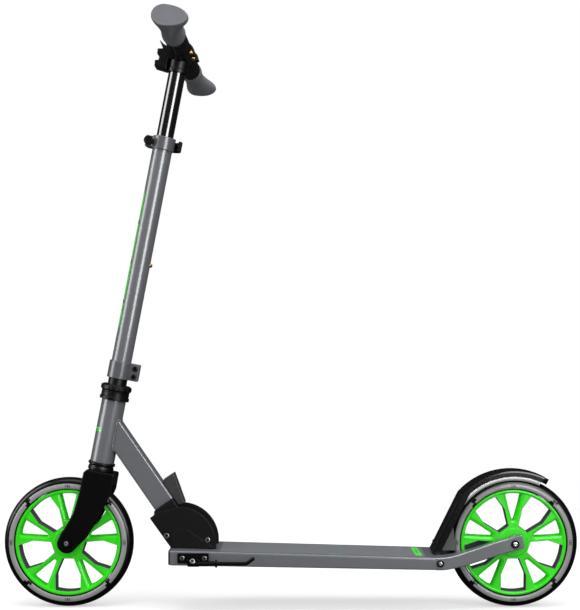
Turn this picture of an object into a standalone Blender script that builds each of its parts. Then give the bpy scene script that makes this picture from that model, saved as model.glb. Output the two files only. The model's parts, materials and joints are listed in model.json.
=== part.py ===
"""Folding kick scooter with 200 mm wheels, as separate parts with real joints.

Frame: metres, +Z up, ground at Z = 0, front wheel at -X, rider's left at -Y.
The origin is on the ground, halfway between the wheels, in the middle plane.
"""
import math

import bmesh
import bpy
from mathutils import Matrix, Vector

# ---- driving dimensions -------------------------------------------------------------
GAP = 0.0003                        # clearance between neighbours
WHEEL_RADIUS = 0.100
WHEEL_HALF_WIDTH = 0.015
AXLE_X = 0.3447                     # half the wheelbase
AXLE_Z = WHEEL_RADIUS
STEER_ANGLE = math.radians(10.94)   # the steering axis leans back by this much
STEER_FOOT = Vector((-0.3179, 0.0, 0.100))   # point of the steering axis at axle height
FOLD_PIVOT = Vector((-0.1904, 0.0, 0.1129))
NECK_LEAN = math.radians(34.65)     # the neck tube leans forward by this much

DECK_FRONT = -0.183
DECK_REAR = 0.221
DECK_HALF_WIDTH = 0.049
DECK_TOP_FRONT = 0.0939             # top face height at the front end
DECK_BOTTOM_FRONT = 0.0711
DECK_TOP_SLOPE = 0.0269             # fall per unit length towards the rear
DECK_BOTTOM_SLOPE = 0.0175

TUBE_RADIUS = 0.0154                # lower stem tube
INNER_TUBE_RADIUS = 0.0132
STEERER_RADIUS = 0.0127
BAR_STATION = 0.773                 # handlebar axis, along the steering axis
BAR_SETBACK = 0.003
HANDLE_TUBE_RADIUS = 0.0110
SLEEVE_RADIUS = 0.0145
SLEEVE_HALF_WIDTH = 0.038
GRIP_INNER = 0.118
GRIP_OUTER = 0.244
HEIGHT_BUTTON_STATION = 0.440
HANDLE_BUTTON_Y = 0.020

CORE_RADIUS = 0.0820
CORE_HALF_WIDTH = 0.0130
WINDOW_RADIUS = 0.0756
HUB_RADIUS = 0.0235
BEARING_RADIUS = 0.0110
AXLE_RADIUS = 0.0040
FORK_INNER = 0.0183
FORK_OUTER = 0.0240
RAIL_INNER = 0.0178
RAIL_OUTER = 0.0278

FENDER_PIVOT = Vector((0.2281, 0.0, 0.0736))
KICK_PIVOT = Vector((-0.1470, -0.0615, 0.0786))
KICK_SPLAY = math.radians(30)       # the stand's hinge axis dips outwards by this much

CUTTER_PHASE = 0.3
ALONG_Y = (-math.pi / 2, 0.0, 0.0)  # turns a part's own +Z to world +Y
SIDE_ON = (math.pi / 2, 0.0, 0.0)   # turns a flat outline in XY to the XZ plane
ALONG_X = (0.0, math.pi / 2, 0.0)   # turns a part's own +Z to world +X


# ---- scene helpers ------------------------------------------------------------------
def clear_scene():
    for obj in list(bpy.data.objects):
        bpy.data.objects.remove(obj, do_unlink=True)


def new_collection(name):
    group = bpy.data.collections.new(name)
    bpy.context.scene.collection.children.link(group)
    return group


def finish(name, colour, roughness, metallic):
    """A Principled material; colour is linear RGB."""
    mat = bpy.data.materials.new(name)
    mat.use_nodes = True
    shader = mat.node_tree.nodes["Principled BSDF"]
    shader.inputs["Base Color"].default_value = (*colour, 1.0)
    shader.inputs["Roughness"].default_value = roughness
    shader.inputs["Metallic"].default_value = metallic
    return mat


clear_scene()
PARTS = new_collection("kick_scooter")
CUTTERS = new_collection("cutters")

GREY_PAINT = finish("grey_paint", (0.17, 0.18, 0.19), 0.40, 0.3)
GRIP_TAPE = finish("deck_grip_grey", (0.15, 0.16, 0.17), 0.85, 0.0)
BLACK_PAINT = finish("black_paint", (0.010, 0.010, 0.011), 0.35, 0.0)
BLACK_GLOSS = finish("black_gloss", (0.006, 0.006, 0.006), 0.12, 0.0)
BLACK_PLASTIC = finish("black_plastic", (0.012, 0.012, 0.012), 0.50, 0.0)
DARK_PLASTIC = finish("dark_grey_plastic", (0.045, 0.045, 0.047), 0.55, 0.0)
GREEN_PLASTIC = finish("green_plastic", (0.06, 0.85, 0.03), 0.38, 0.0)
TYRE_RUBBER = finish("tyre_rubber", (0.010, 0.010, 0.010), 0.45, 0.0)
GRIP_RUBBER = finish("grip_rubber", (0.16, 0.17, 0.18), 0.60, 0.0)
STEEL = finish("bright_steel", (0.62, 0.62, 0.60), 0.25, 1.0)
CLAMP_METAL = finish("clamp_metal", (0.24, 0.25, 0.28), 0.30, 0.9)
BRASS = finish("brass", (0.85, 0.60, 0.16), 0.25, 1.0)


def empty(name, location, rotation=(0.0, 0.0, 0.0)):
    """An empty that carries the parts whose joint axis passes through it."""
    obj = bpy.data.objects.new(name, None)
    obj.location = location
    obj.rotation_euler = rotation
    obj.empty_display_size = 0.03
    PARTS.objects.link(obj)
    return obj


STEER = empty("steering_axis", STEER_FOOT, (0.0, STEER_ANGLE, 0.0))


def add(name, mesh, mat, location=(0, 0, 0), rotation=(0, 0, 0), parent=None):
    obj = bpy.data.objects.new(name, mesh)
    obj.location = location
    obj.rotation_euler = rotation
    obj.parent = parent
    if mat is None:
        CUTTERS.objects.link(obj)
        obj.hide_render = True
        obj.display_type = "WIRE"
    else:
        PARTS.objects.link(obj)
        mesh.materials.append(mat)
    return obj


def box(name, mat, size, location=(0, 0, 0), rotation=(0, 0, 0), parent=None, bevel=0.0):
    """A block of the given full size, with bevelled edges where bevel is above zero."""
    mesh = bpy.data.meshes.new(name)
    form = bmesh.new()
    bmesh.ops.create_cube(form, size=1.0, matrix=Matrix.Diagonal((*size, 1.0)))
    form.to_mesh(mesh)
    form.free()
    obj = add(name, mesh, mat, location, rotation, parent)
    if bevel > 0:
        round_edges(obj, bevel)
    return obj


def round_edges(obj, width, segments=2, angle=30):
    mod = obj.modifiers.new("rounded_edges", "BEVEL")
    mod.width = width
    mod.segments = segments
    mod.limit_method = "ANGLE"
    mod.angle_limit = math.radians(angle)


def turned(name, mat, profile, location=(0, 0, 0), rotation=(0, 0, 0), parent=None, steps=32):
    """A turned part: (radius, height) points run down the outer side, top to bottom.

    A profile that starts and ends on the axis gives a solid; any other is closed to a ring.
    A cutter is turned by part of a facet, so that its edges never lie on those it cuts.
    """
    mesh = bpy.data.meshes.new(name)
    phase = CUTTER_PHASE * 2 * math.pi / steps if mat is None else 0.0
    points = [(r * math.cos(phase), r * math.sin(phase), height) for r, height in profile]
    edges = [(i, i + 1) for i in range(len(points) - 1)]
    if profile[0][0] > 0:
        edges.append((len(points) - 1, 0))
    mesh.from_pydata(points, edges, [])
    obj = add(name, mesh, mat, location, rotation, parent)
    mod = obj.modifiers.new("turning", "SCREW")
    mod.steps = steps
    mod.render_steps = steps
    mod.use_merge_vertices = True
    mod.merge_threshold = 0.00001
    mod.use_smooth_shade = True
    return obj


def rod(name, mat, radius, low, high, location=(0, 0, 0), rotation=(0, 0, 0), parent=None, steps=24):
    """A solid cylinder from height low to high."""
    profile = [(0, high), (radius, high), (radius, low), (0, low)]
    return turned(name, mat, profile, location, rotation, parent, steps)


def sleeve(name, mat, outer, inner, low, high, location=(0, 0, 0), rotation=(0, 0, 0), parent=None, steps=32):
    """A hollow cylinder from height low to high."""
    profile = [(outer, high), (outer, low), (inner, low), (inner, high)]
    return turned(name, mat, profile, location, rotation, parent, steps)


def curve_to_mesh(obj):
    """Replace a curve object by a welded mesh object in the same place."""
    bpy.context.view_layer.update()
    graph = bpy.context.evaluated_depsgraph_get()
    mesh = bpy.data.meshes.new_from_object(obj.evaluated_get(graph))
    form = bmesh.new()
    form.from_mesh(mesh)
    bmesh.ops.remove_doubles(form, verts=form.verts, dist=0.000005)
    form.to_mesh(mesh)
    form.free()
    name = obj.name
    curve = obj.data
    parent = obj.parent
    location = obj.location.copy()
    rotation = obj.rotation_euler.copy()
    group = obj.users_collection[0]
    bpy.data.objects.remove(obj, do_unlink=True)
    bpy.data.curves.remove(curve)
    solid = bpy.data.objects.new(name, mesh)
    solid.parent = parent
    solid.location = location
    solid.rotation_euler = rotation
    group.objects.link(solid)
    if group == CUTTERS:
        solid.hide_render = True
        solid.display_type = "WIRE"
    return solid


def plate(name, mat, loops, thickness, location=(0, 0, 0), rotation=SIDE_ON, parent=None, bevel=0.0):
    """A flat part: outlines in its own XY plane (the first outside, the rest holes)."""
    curve = bpy.data.curves.new(name, "CURVE")
    curve.dimensions = "2D"
    curve.fill_mode = "BOTH"
    curve.extrude = thickness / 2
    curve.render_resolution_u = 0
    for loop in loops:
        spline = curve.splines.new("POLY")
        spline.points.add(len(loop) - 1)
        for point, (x, y) in zip(spline.points, loop):
            point.co = (x, y, 0.0, 1.0)
        spline.use_cyclic_u = True
    obj = curve_to_mesh(add(name, curve, mat, location, rotation, parent))
    if bevel > 0:
        round_edges(obj, bevel)
    return obj


def boolean(target, other, operation, solver):
    mod = target.modifiers.new(operation.lower() + "_" + other.name, "BOOLEAN")
    mod.operation = operation
    mod.solver = solver
    mod.object = other


def cut(target, *cutters, solver="EXACT"):
    for cutter in cutters:
        boolean(target, cutter, "DIFFERENCE", solver)


def join(target, *others, solver="EXACT"):
    for other in others:
        boolean(target, other, "UNION", solver)


def arc(centre, radius, start, end, count):
    """Points on a circle from one angle to another, in degrees."""
    points = []
    for i in range(count + 1):
        angle = math.radians(start + (end - start) * i / count)
        points.append((centre[0] + radius * math.cos(angle), centre[1] + radius * math.sin(angle)))
    return points


def deck_top(x):
    return DECK_TOP_FRONT - DECK_TOP_SLOPE * (x - DECK_FRONT)


def deck_bottom(x):
    return DECK_BOTTOM_FRONT - DECK_BOTTOM_SLOPE * (x - DECK_FRONT)


# ---- deck ---------------------------------------------------------------------------
def make_deck():
    """Hollow aluminium deck that tapers towards the rear, with its grip sheet and end cap."""
    outline = [
        (DECK_FRONT, deck_bottom(DECK_FRONT)),
        (DECK_REAR, deck_bottom(DECK_REAR)),
        (DECK_REAR, deck_top(DECK_REAR)),
        (DECK_FRONT, deck_top(DECK_FRONT)),
    ]
    deck = slab("deck", GREY_PAINT, outline, DECK_HALF_WIDTH)
    edges = deck.modifiers.new("long_edge_chamfer", "BEVEL")
    edges.width = 0.003
    edges.segments = 2
    edges.limit_method = "WEIGHT"
    weight_long_edges(deck)
    wall = 0.003
    inside = [
        (DECK_FRONT - 0.01, deck_bottom(DECK_FRONT) + wall),
        (DECK_REAR + 0.01, deck_bottom(DECK_REAR) + wall),
        (DECK_REAR + 0.01, deck_top(DECK_REAR) - wall - 0.001),
        (DECK_FRONT - 0.01, deck_top(DECK_FRONT) - wall - 0.001),
    ]
    cut(deck, plate("deck_cavity", None, [inside], 2 * (DECK_HALF_WIDTH - 0.004)))

    grip_front = -0.108
    grip_rear = 0.206
    slope = math.atan(DECK_TOP_SLOPE)
    middle = (grip_front + grip_rear) / 2
    seat = box("deck_grip_seat", None, (grip_rear - grip_front + 2 * GAP, 0.0826, 0.002),
               (middle, 0, deck_top(middle)), (0, slope, 0))
    cut(deck, seat)
    box("deck_grip", GRIP_TAPE, (grip_rear - grip_front, 0.082, 0.0009),
        (middle, 0, deck_top(middle) - 0.0002), (0, slope, 0))

    cap_thick = 0.0022
    cap_x = DECK_FRONT - GAP - cap_thick / 2
    cap_height = deck_top(DECK_FRONT) - deck_bottom(DECK_FRONT) - 0.001
    box("deck_front_cap", BLACK_PLASTIC, (cap_thick, 2 * DECK_HALF_WIDTH - 0.001, cap_height),
        (cap_x, 0, (deck_top(DECK_FRONT) + deck_bottom(DECK_FRONT)) / 2), bevel=0.0006)


def slab(name, mat, outline, half_width):
    """A solid with six flat faces between two upright copies of a four-sided outline."""
    mesh = bpy.data.meshes.new(name)
    points = [(x, side * half_width, z) for side in (-1, 1) for x, z in outline]
    faces = [(0, 1, 2, 3), (7, 6, 5, 4), (0, 4, 5, 1), (1, 5, 6, 2), (2, 6, 7, 3), (3, 7, 4, 0)]
    mesh.from_pydata(points, [], faces)
    return add(name, mesh, mat)


def weight_long_edges(obj):
    """Mark the edges that run along the deck for its chamfer."""
    mesh = obj.data
    layer = mesh.attributes.new("bevel_weight_edge", "FLOAT", "EDGE")
    for edge in mesh.edges:
        a, b = (mesh.vertices[i].co for i in edge.vertices)
        long_way = abs(a.x - b.x) > 0.1 and abs(a.y - b.y) < 0.001
        layer.data[edge.index].value = 1.0 if long_way else 0.0


# ---- rear rails and axle --------------------------------------------------------------
def make_rails():
    """Two cast arms that narrow from the deck's full width to the rear axle."""
    start = DECK_REAR + GAP
    lower = [(start, 0.0633), (0.2350, 0.0629), (0.2506, 0.0654), (0.2707, 0.0697), (0.3129, 0.0815),
             (0.3601, 0.0940)]
    upper = [(0.3548, 0.1148), (0.3054, 0.1010), (0.2740, 0.0915), (0.2506, 0.0848), (0.2350, 0.0826),
             (start, 0.0825)]
    shoulder_x = 0.235
    shoulder_y = 0.0465
    narrow_x = 0.305
    for side, label in ((-1, "left"), (1, "right")):
        rail = plate("rail_" + label, GREY_PAINT, [lower + upper], shoulder_y - RAIL_INNER,
                     (0, side * (shoulder_y + RAIL_INNER) / 2, 0))
        far = 0.1
        wedge = [(shoulder_x - 0.0070, side * (shoulder_y + 0.00147)),
                 (narrow_x, side * (RAIL_OUTER + 0.004)),
                 (0.333, side * RAIL_OUTER), (0.37, side * RAIL_OUTER), (0.37, side * far),
                 (shoulder_x - 0.0070, side * far)]
        if side < 0:
            wedge.reverse()
        taper = plate("rail_taper_" + label, None, [wedge], 0.2, (0, 0, 0.08), (0, 0, 0))
        axle_hole = rod("rail_axle_hole_" + label, None, AXLE_RADIUS + GAP, -0.06, 0.06,
                        (AXLE_X, 0, AXLE_Z), ALONG_Y)
        bolt_hole = rod("rail_bolt_hole_" + label, None, 0.0035 + GAP, -0.06, 0.06, FENDER_PIVOT, ALONG_Y)
        cut(rail, taper, axle_hole, bolt_hole, solver="MANIFOLD")
    reach = shoulder_y + GAP
    bolt = [(0, reach + 0.0026), (0.0040, reach + 0.0026), (0.0055, reach + 0.0014), (0.0055, reach),
            (0.0035, reach), (0.0035, -reach), (0.0055, -reach), (0.0055, -reach - 0.0014),
            (0.0040, -reach - 0.0026), (0, -reach - 0.0026)]
    turned("fender_bolt", STEEL, bolt, FENDER_PIVOT, ALONG_Y, steps=16)


def make_axle(label, centre_x, outer_face, inner_face):
    """A shouldered axle with a head on the left and a nut on the right."""
    reach = outer_face + 0.0040
    shoulder = CORE_HALF_WIDTH + GAP
    profile = [
        (0, reach), (AXLE_RADIUS, reach),
        (AXLE_RADIUS, inner_face - GAP), (0.0065, inner_face - GAP),
        (0.0065, shoulder), (AXLE_RADIUS, shoulder),
        (AXLE_RADIUS, -shoulder), (0.0065, -shoulder),
        (0.0065, -inner_face + GAP), (AXLE_RADIUS, -inner_face + GAP),
        (AXLE_RADIUS, -outer_face - GAP), (0.0068, -outer_face - GAP),
        (0.0068, -outer_face - 0.0026), (0.0055, -outer_face - 0.0034), (0, -outer_face - 0.0034),
    ]
    turned(label + "_axle", STEEL, profile, (centre_x, 0, AXLE_Z), ALONG_Y, steps=16)
    across_flats = (AXLE_RADIUS + GAP) / math.cos(math.pi / 6)
    sleeve(label + "_axle_nut", STEEL, 0.0076, across_flats, outer_face + GAP, outer_face + 0.0036,
           (centre_x, 0, AXLE_Z), ALONG_Y, steps=6)


# ---- wheels ---------------------------------------------------------------------------
def narrow_window(angle):
    """A slim opening between two spokes of a pair, its point towards the hub."""
    half = 0.0120
    corners = [(0.0370, -0.0022), (0.0700, -0.0098), (0.0745, -half), (0.0750, 0.0), (0.0745, half),
               (0.0700, 0.0098), (0.0370, 0.0022)]
    return turn_outline(corners, angle)


def wide_window(angle):
    """A wide opening between two pairs of spokes, with a blunt inner end on the hub."""
    corners = [(0.0245, -0.0082), (0.0450, -0.0160), (0.0560, -0.0215), (0.0700, -0.0215),
               (0.0735, -0.0175), (WINDOW_RADIUS, 0.0), (0.0735, 0.0175), (0.0700, 0.0215),
               (0.0560, 0.0215), (0.0450, 0.0160), (0.0245, 0.0082)]
    return turn_outline(corners, angle)


def turn_outline(points, angle):
    c = math.cos(math.radians(angle))
    s = math.sin(math.radians(angle))
    return [(c * x - s * y, s * x + c * y) for x, y in points]


def make_wheel(label, centre_x):
    """Tyre, spoked core and two ball bearings."""
    centre = (centre_x, 0, AXLE_Z)
    loops = [arc((0, 0), CORE_RADIUS, 0, 352.5, 47), arc((0, 0), BEARING_RADIUS + GAP, 0, 337.5, 15)]
    for k in range(5):
        loops.append(narrow_window(90 + 72 * k))
        loops.append(wide_window(54 + 72 * k))
    plate(label + "_wheel_core", GREEN_PLASTIC, loops, 2 * CORE_HALF_WIDTH, centre)
    bore = CORE_RADIUS + GAP
    half = WHEEL_HALF_WIDTH
    tyre = [(WHEEL_RADIUS, 0.0060), (WHEEL_RADIUS, -0.0060), (0.0975, -0.0115), (0.0920, -half),
            (0.0845, -half), (bore, -CORE_HALF_WIDTH), (bore, CORE_HALF_WIDTH),
            (0.0845, half), (0.0920, half), (0.0975, 0.0115)]
    turned(label + "_tyre", TYRE_RUBBER, tyre, centre, ALONG_Y, steps=48)
    for side, name in ((-1, "left"), (1, "right")):
        sleeve(label + "_bearing_" + name, STEEL, BEARING_RADIUS, AXLE_RADIUS + GAP, 0.0060,
               CORE_HALF_WIDTH, centre, (-side * math.pi / 2, 0, 0), steps=16)


# ---- rear brake -----------------------------------------------------------------------
def around_rear_axle(radius, start, end, count):
    return arc((AXLE_X, AXLE_Z), radius, start, end, count)


def make_fender():
    """Foot brake: a black channel over the wheel, hinged on the cross bolt, with a steel liner."""
    skin = around_rear_axle(0.1120, 61, 138, 12)
    back = around_rear_axle(0.1028, 141, 61, 12)
    leg_outer = [(0.2170, 0.0862)]
    leg_inner = [(0.2300, 0.0862)]
    width = 0.044
    fender = plate("brake_fender", BLACK_GLOSS, [skin + leg_outer + leg_inner + back], width)
    under = around_rear_axle(0.1088, 59, 138.5, 12)
    hollow = under + [(0.2226, 0.0862), (0.2226, 0.0800), (0.2600, 0.0800)] + \
        around_rear_axle(0.0950, 160, 59, 12)
    lug_top = 0.100
    lug = [(0.2215, lug_top)] + arc((FENDER_PIVOT.x, FENDER_PIVOT.z), 0.0066, 180, 360, 8) + \
        [(0.2347, 0.0900), (0.2347, lug_top + 0.004)]
    fender_lug = plate("fender_lug", None, [lug], 0.0300)
    hole = rod("fender_hole", None, 0.0035 + GAP, -0.03, 0.03, FENDER_PIVOT, ALONG_Y, steps=20)
    cut(fender, plate("fender_hollow", None, [hollow], width - 0.006))
    join(fender, fender_lug)
    cut(fender, hole)

    crown = around_rear_axle(0.1085, 66, 134, 12)
    skirt = around_rear_axle(0.0965, 157, 66, 14)
    web = [(0.2620, 0.1660), (0.2440, 0.1270), (0.2365, 0.1110), (0.2330, 0.0885), (0.2547, 0.0885),
           (0.2507, 0.1271)]
    liner = plate("brake_plate", CLAMP_METAL, [crown + web + skirt], 0.0374)
    pocket = around_rear_axle(0.1052, 62, 134, 12) + \
        [(0.2500, 0.1500), (0.2200, 0.1000), (0.2200, 0.0700), (0.2700, 0.0700)] + \
        around_rear_axle(0.0900, 160, 62, 12)
    cut(liner, plate("brake_plate_pocket", None, [pocket], 0.0340))


def make_fender_spring():
    """The torsion spring that lifts the brake, wound round the cross bolt."""
    sleeve("fender_spring", STEEL, 0.0058, 0.0042, 0.0156, 0.0172, FENDER_PIVOT, ALONG_Y, steps=20)


# ---- folding bracket and neck ---------------------------------------------------------
def neck_point(e, t):
    """A point of the side plane from the fold pivot: e across the neck, t up along it."""
    across = (math.cos(NECK_LEAN), math.sin(NECK_LEAN))
    along = (-math.sin(NECK_LEAN), math.cos(NECK_LEAN))
    return (FOLD_PIVOT.x + e * across[0] + t * along[0], FOLD_PIVOT.z + e * across[1] + t * along[1])


BRACKET_INNER = 0.0235
BRACKET_OUTER = 0.0265
BRACKET_SCREW = (-0.1273, 0.1067)


def make_bracket():
    """Two black cheek plates on the deck, their pivot pin and the two rear screws."""
    bottom = deck_top(-0.150) + 0.0013
    outline = [(-0.1842, bottom), (-0.1142, bottom)] + arc((-0.1729, 0.0986), 0.0590, 2, 86, 12) + \
        [(-0.2068, 0.1471), (-0.2165, 0.1396)]
    bottom_cutter = box("bracket_foot_cut", None, (0.12, 0.08, 0.02),
                        (-0.15, 0, deck_top(-0.15) + GAP - 0.01), (0, math.atan(DECK_TOP_SLOPE), 0))
    pivot_hole = rod("bracket_pivot_hole", None, 0.0030 + GAP, -0.04, 0.04, FOLD_PIVOT, ALONG_Y)
    screw_at = (BRACKET_SCREW[0], 0, BRACKET_SCREW[1])
    screw_hole = rod("bracket_screw_hole", None, 0.0025 + GAP, -0.04, 0.04, screw_at, ALONG_Y)
    thickness = BRACKET_OUTER - BRACKET_INNER
    outline[0] = (-0.1842, bottom - 0.004)
    outline[1] = (-0.1142, bottom - 0.004)
    for side, label in ((-1, "left"), (1, "right")):
        cheek = plate("fold_plate_" + label, BLACK_PAINT, [outline], thickness,
                      (0, side * (BRACKET_INNER + BRACKET_OUTER) / 2, 0))
        cut(cheek, bottom_cutter, pivot_hole, screw_hole)
        head = BRACKET_OUTER + GAP
        profile = [(0, head + 0.0022), (0.0030, head + 0.0022), (0.0040, head + 0.0010), (0.0040, head),
                   (0.0025, head), (0.0025, BRACKET_INNER - 0.004), (0, BRACKET_INNER - 0.004)]
        turned("bracket_screw_" + label, STEEL, profile, screw_at, (-side * math.pi / 2, 0, 0), steps=12)
    end = BRACKET_OUTER + GAP
    pin = [(0, end + 0.0022), (0.0034, end + 0.0022), (0.0044, end + 0.0010), (0.0044, end),
           (0.0030, end), (0.0030, -end), (0.0044, -end), (0.0044, -end - 0.0010),
           (0.0034, -end - 0.0022), (0, -end - 0.0022)]
    turned("fold_pivot_pin", STEEL, pin, FOLD_PIVOT, ALONG_Y, steps=16)


NECK_CENTRE = 0.0217                 # the tube's middle line, across from the fold pivot
NECK_HALF_HEIGHT = 0.0168
NECK_HALF_WIDTH = 0.0140
NECK_START = 0.0420


def rounded_rectangle(half_x, half_y, radius):
    points = []
    for cx, cy, start in ((1, 1, 0), (-1, 1, 90), (-1, -1, 180), (1, -1, 270)):
        centre = (cx * (half_x - radius), cy * (half_y - radius))
        points += arc(centre, radius, start, start + 90, 3)
    return points


def make_neck():
    """Head tube, rectangular neck tube and the foot block that swings between the cheeks."""
    head_low = 0.1257
    head_high = 0.2243
    head_radius = 0.0187
    sleeve("head_tube", GREY_PAINT, head_radius, 0.0160, head_low, head_high, parent=STEER, steps=32)
    length = 0.185
    wall = 0.0022
    x, z = neck_point(NECK_CENTRE, NECK_START + length / 2)
    outline = rounded_rectangle(NECK_HALF_HEIGHT, NECK_HALF_WIDTH, 0.0035)
    inside = rounded_rectangle(NECK_HALF_HEIGHT - wall, NECK_HALF_WIDTH - wall, 0.0015)
    neck = plate("neck_tube", GREY_PAINT, [outline, inside], length, (x, 0, z), (0, -NECK_LEAN, 0))
    cut(neck, rod("neck_mouth", None, head_radius + GAP, 0.05, 0.32, parent=STEER, steps=32))
    beyond = box("neck_beyond_head", None, (0.06, 0.05, 0.30), (-0.033, 0, 0.2), parent=STEER)
    cut(neck, beyond)

    top = NECK_START - GAP
    low = NECK_CENTRE - NECK_HALF_HEIGHT
    high = NECK_CENTRE + NECK_HALF_HEIGHT
    lug = 0.0063
    outline = [neck_point(high, top), neck_point(low, top), neck_point(-0.0060, 0.0280),
               neck_point(-lug, 0.0)]
    outline += [neck_point(lug * math.cos(a), lug * math.sin(a)) for a in
                (math.radians(d) for d in (200, 225, 250, 275, 300))]
    outline += [neck_point(0.0200, 0.0025), neck_point(0.0370, 0.0110), neck_point(high, 0.0135)]
    foot = plate("neck_foot", BLACK_PAINT, [outline], 2 * (BRACKET_INNER - GAP))
    hole = rod("neck_foot_hole", None, 0.0030 + GAP, -0.04, 0.04, FOLD_PIVOT, ALONG_Y)
    cut(foot, hole)

    lower_cup = [(0.0187, 0.1254), (0.0208, 0.1254), (0.0208, 0.1225), (0.0185, 0.1205),
                 (0.0198, 0.1170), (0.0198, 0.1133), (0.0131, 0.1133), (0.0131, 0.1254)]
    turned("head_cup_lower", BLACK_PLASTIC, lower_cup, parent=STEER, steps=24)
    upper_cup = [(0.0215, 0.2357), (0.0215, 0.2300), (0.0228, 0.2290), (0.0228, 0.2246),
                 (0.0131, 0.2246), (0.0131, 0.2357)]
    turned("head_cup_upper", BLACK_PLASTIC, upper_cup, parent=STEER, steps=24)


def make_release_lever():
    """The wedge-shaped pull lever that unlocks the fold, hinged low on the neck's rear face."""
    face = NECK_CENTRE + NECK_HALF_HEIGHT + GAP
    outline = [neck_point(face, 0.0275), neck_point(0.0488, 0.0245), neck_point(0.0597, 0.0664),
               neck_point(0.0614, 0.0727), neck_point(0.0430, 0.0733), neck_point(face, 0.0690)]
    plate("release_lever", DARK_PLASTIC, [outline], 0.0220, bevel=0.0012)


# ---- fork, headset and lower stem -----------------------------------------------------
def in_steering_plane(name, mat, loops, thickness, bevel=0.0):
    """A flat part whose outline is given across and along the steering axis."""
    return plate(name, mat, loops, thickness, (0, 0, 0), SIDE_ON, STEER, bevel)


AXLE_ACROSS = -0.0263                # the front axle, across and along the steering axis
AXLE_ALONG = -0.0051


def make_fork():
    """Black fork in one piece: crown, two blades and steerer tube."""
    front = [(-0.0176, 0.1130), (-0.0219, 0.1080), (-0.0223, 0.0980), (-0.0225, 0.0740),
             (-0.0255, 0.0435), (-0.0310, 0.0266), (-0.0385, 0.0076)]
    tip = arc((AXLE_ACROSS, AXLE_ALONG), 0.0152, 172, 332, 10)
    rear = [(0.0023, 0.0105), (0.0120, 0.0350), (0.0208, 0.0636), (0.0265, 0.0860), (0.0262, 0.1130)]
    fork = in_steering_plane("fork", BLACK_PAINT, [front + tip + rear], 2 * FORK_OUTER, bevel=0.0018)
    slot = box("fork_slot", None, (0.12, 2 * FORK_INNER, 0.16), (-0.01, 0, 0.097 - 0.08), parent=STEER,
               bevel=0.004)
    steerer = rod("fork_steerer", None, STEERER_RADIUS, 0.105, 0.284, parent=STEER, steps=32)
    bore = rod("fork_steerer_bore", None, STEERER_RADIUS - 0.0025, 0.110, 0.30, parent=STEER, steps=32)
    hole = rod("fork_axle_hole", None, AXLE_RADIUS + GAP, -0.04, 0.04, (-AXLE_X, 0, AXLE_Z), ALONG_Y)
    cut(fork, slot, solver="MANIFOLD")
    join(fork, steerer, solver="MANIFOLD")
    cut(fork, bore, hole, solver="MANIFOLD")


def make_headset_nut():
    """The wide notched nut on the upper bearing, with its narrower lock nut on top."""
    profile = [(0.0146, 0.2578), (0.0146, 0.2482), (0.0205, 0.2482), (0.0238, 0.2460), (0.0238, 0.2405),
               (0.0215, 0.2385), (0.0215, 0.2360), (0.0131, 0.2360), (0.0131, 0.2578)]
    turned("headset_nut", BLACK_PLASTIC, profile, parent=STEER, steps=24)


def make_stem_clamp():
    """Split clamp with two bolts that holds the lower stem tube on the steerer."""
    low = 0.2584
    high = 0.2850
    outer = 0.0179
    inner = TUBE_RADIUS + GAP
    clamp = rod("stem_clamp", CLAMP_METAL, outer, low, high, parent=STEER, steps=32)
    ears = box("clamp_ears", None, (0.0160, 0.0170, high - low - 0.0004), (0.0226, 0, (low + high) / 2),
               parent=STEER)
    bore = rod("clamp_bore", None, inner, low - 0.01, high + 0.01, parent=STEER, steps=32)
    slit = box("clamp_slit", None, (0.03, 0.0020, 0.04), (0.0260, 0, (low + high) / 2), parent=STEER)
    join(clamp, ears)
    cut(clamp, bore, slit)
    for label, station in (("upper", 0.2780), ("lower", 0.2655)):
        at = (0.0245, 0, station)
        cut(clamp, rod("clamp_hole_" + label, None, 0.0025 + GAP, -0.02, 0.02, at, ALONG_Y, STEER, 16))
        profile = [(0, 0.0105), (0.0025, 0.0105), (0.0025, -0.0088), (0.0042, -0.0088),
                   (0.0042, -0.0118), (0, -0.0118)]
        turned("clamp_bolt_" + label, STEEL, profile, at, ALONG_Y, STEER, 16)


def make_stem_tube():
    """Lower stem tube with the holes of the height button on its rear side."""
    tube = sleeve("stem_tube", GREY_PAINT, TUBE_RADIUS, 0.0136, 0.2590, 0.6200, parent=STEER, steps=32)
    for offset in (-0.090, -0.045, 0.0, 0.045):
        at = (0.015, 0, HEIGHT_BUTTON_STATION + offset)
        cut(tube, rod("height_hole", None, 0.0034 + GAP, -0.006, 0.006, at, ALONG_X, STEER, 16))
    slit = box("stem_slit", None, (0.0034, 0.006, 0.030), (0.0, -0.0145, 0.607), parent=STEER)
    cut(tube, slit)


COLLAR_LOW = 0.6196
COLLAR_HIGH = 0.6400
SKEWER_ACROSS = -0.0215
SKEWER_STATION = 0.6295


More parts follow.
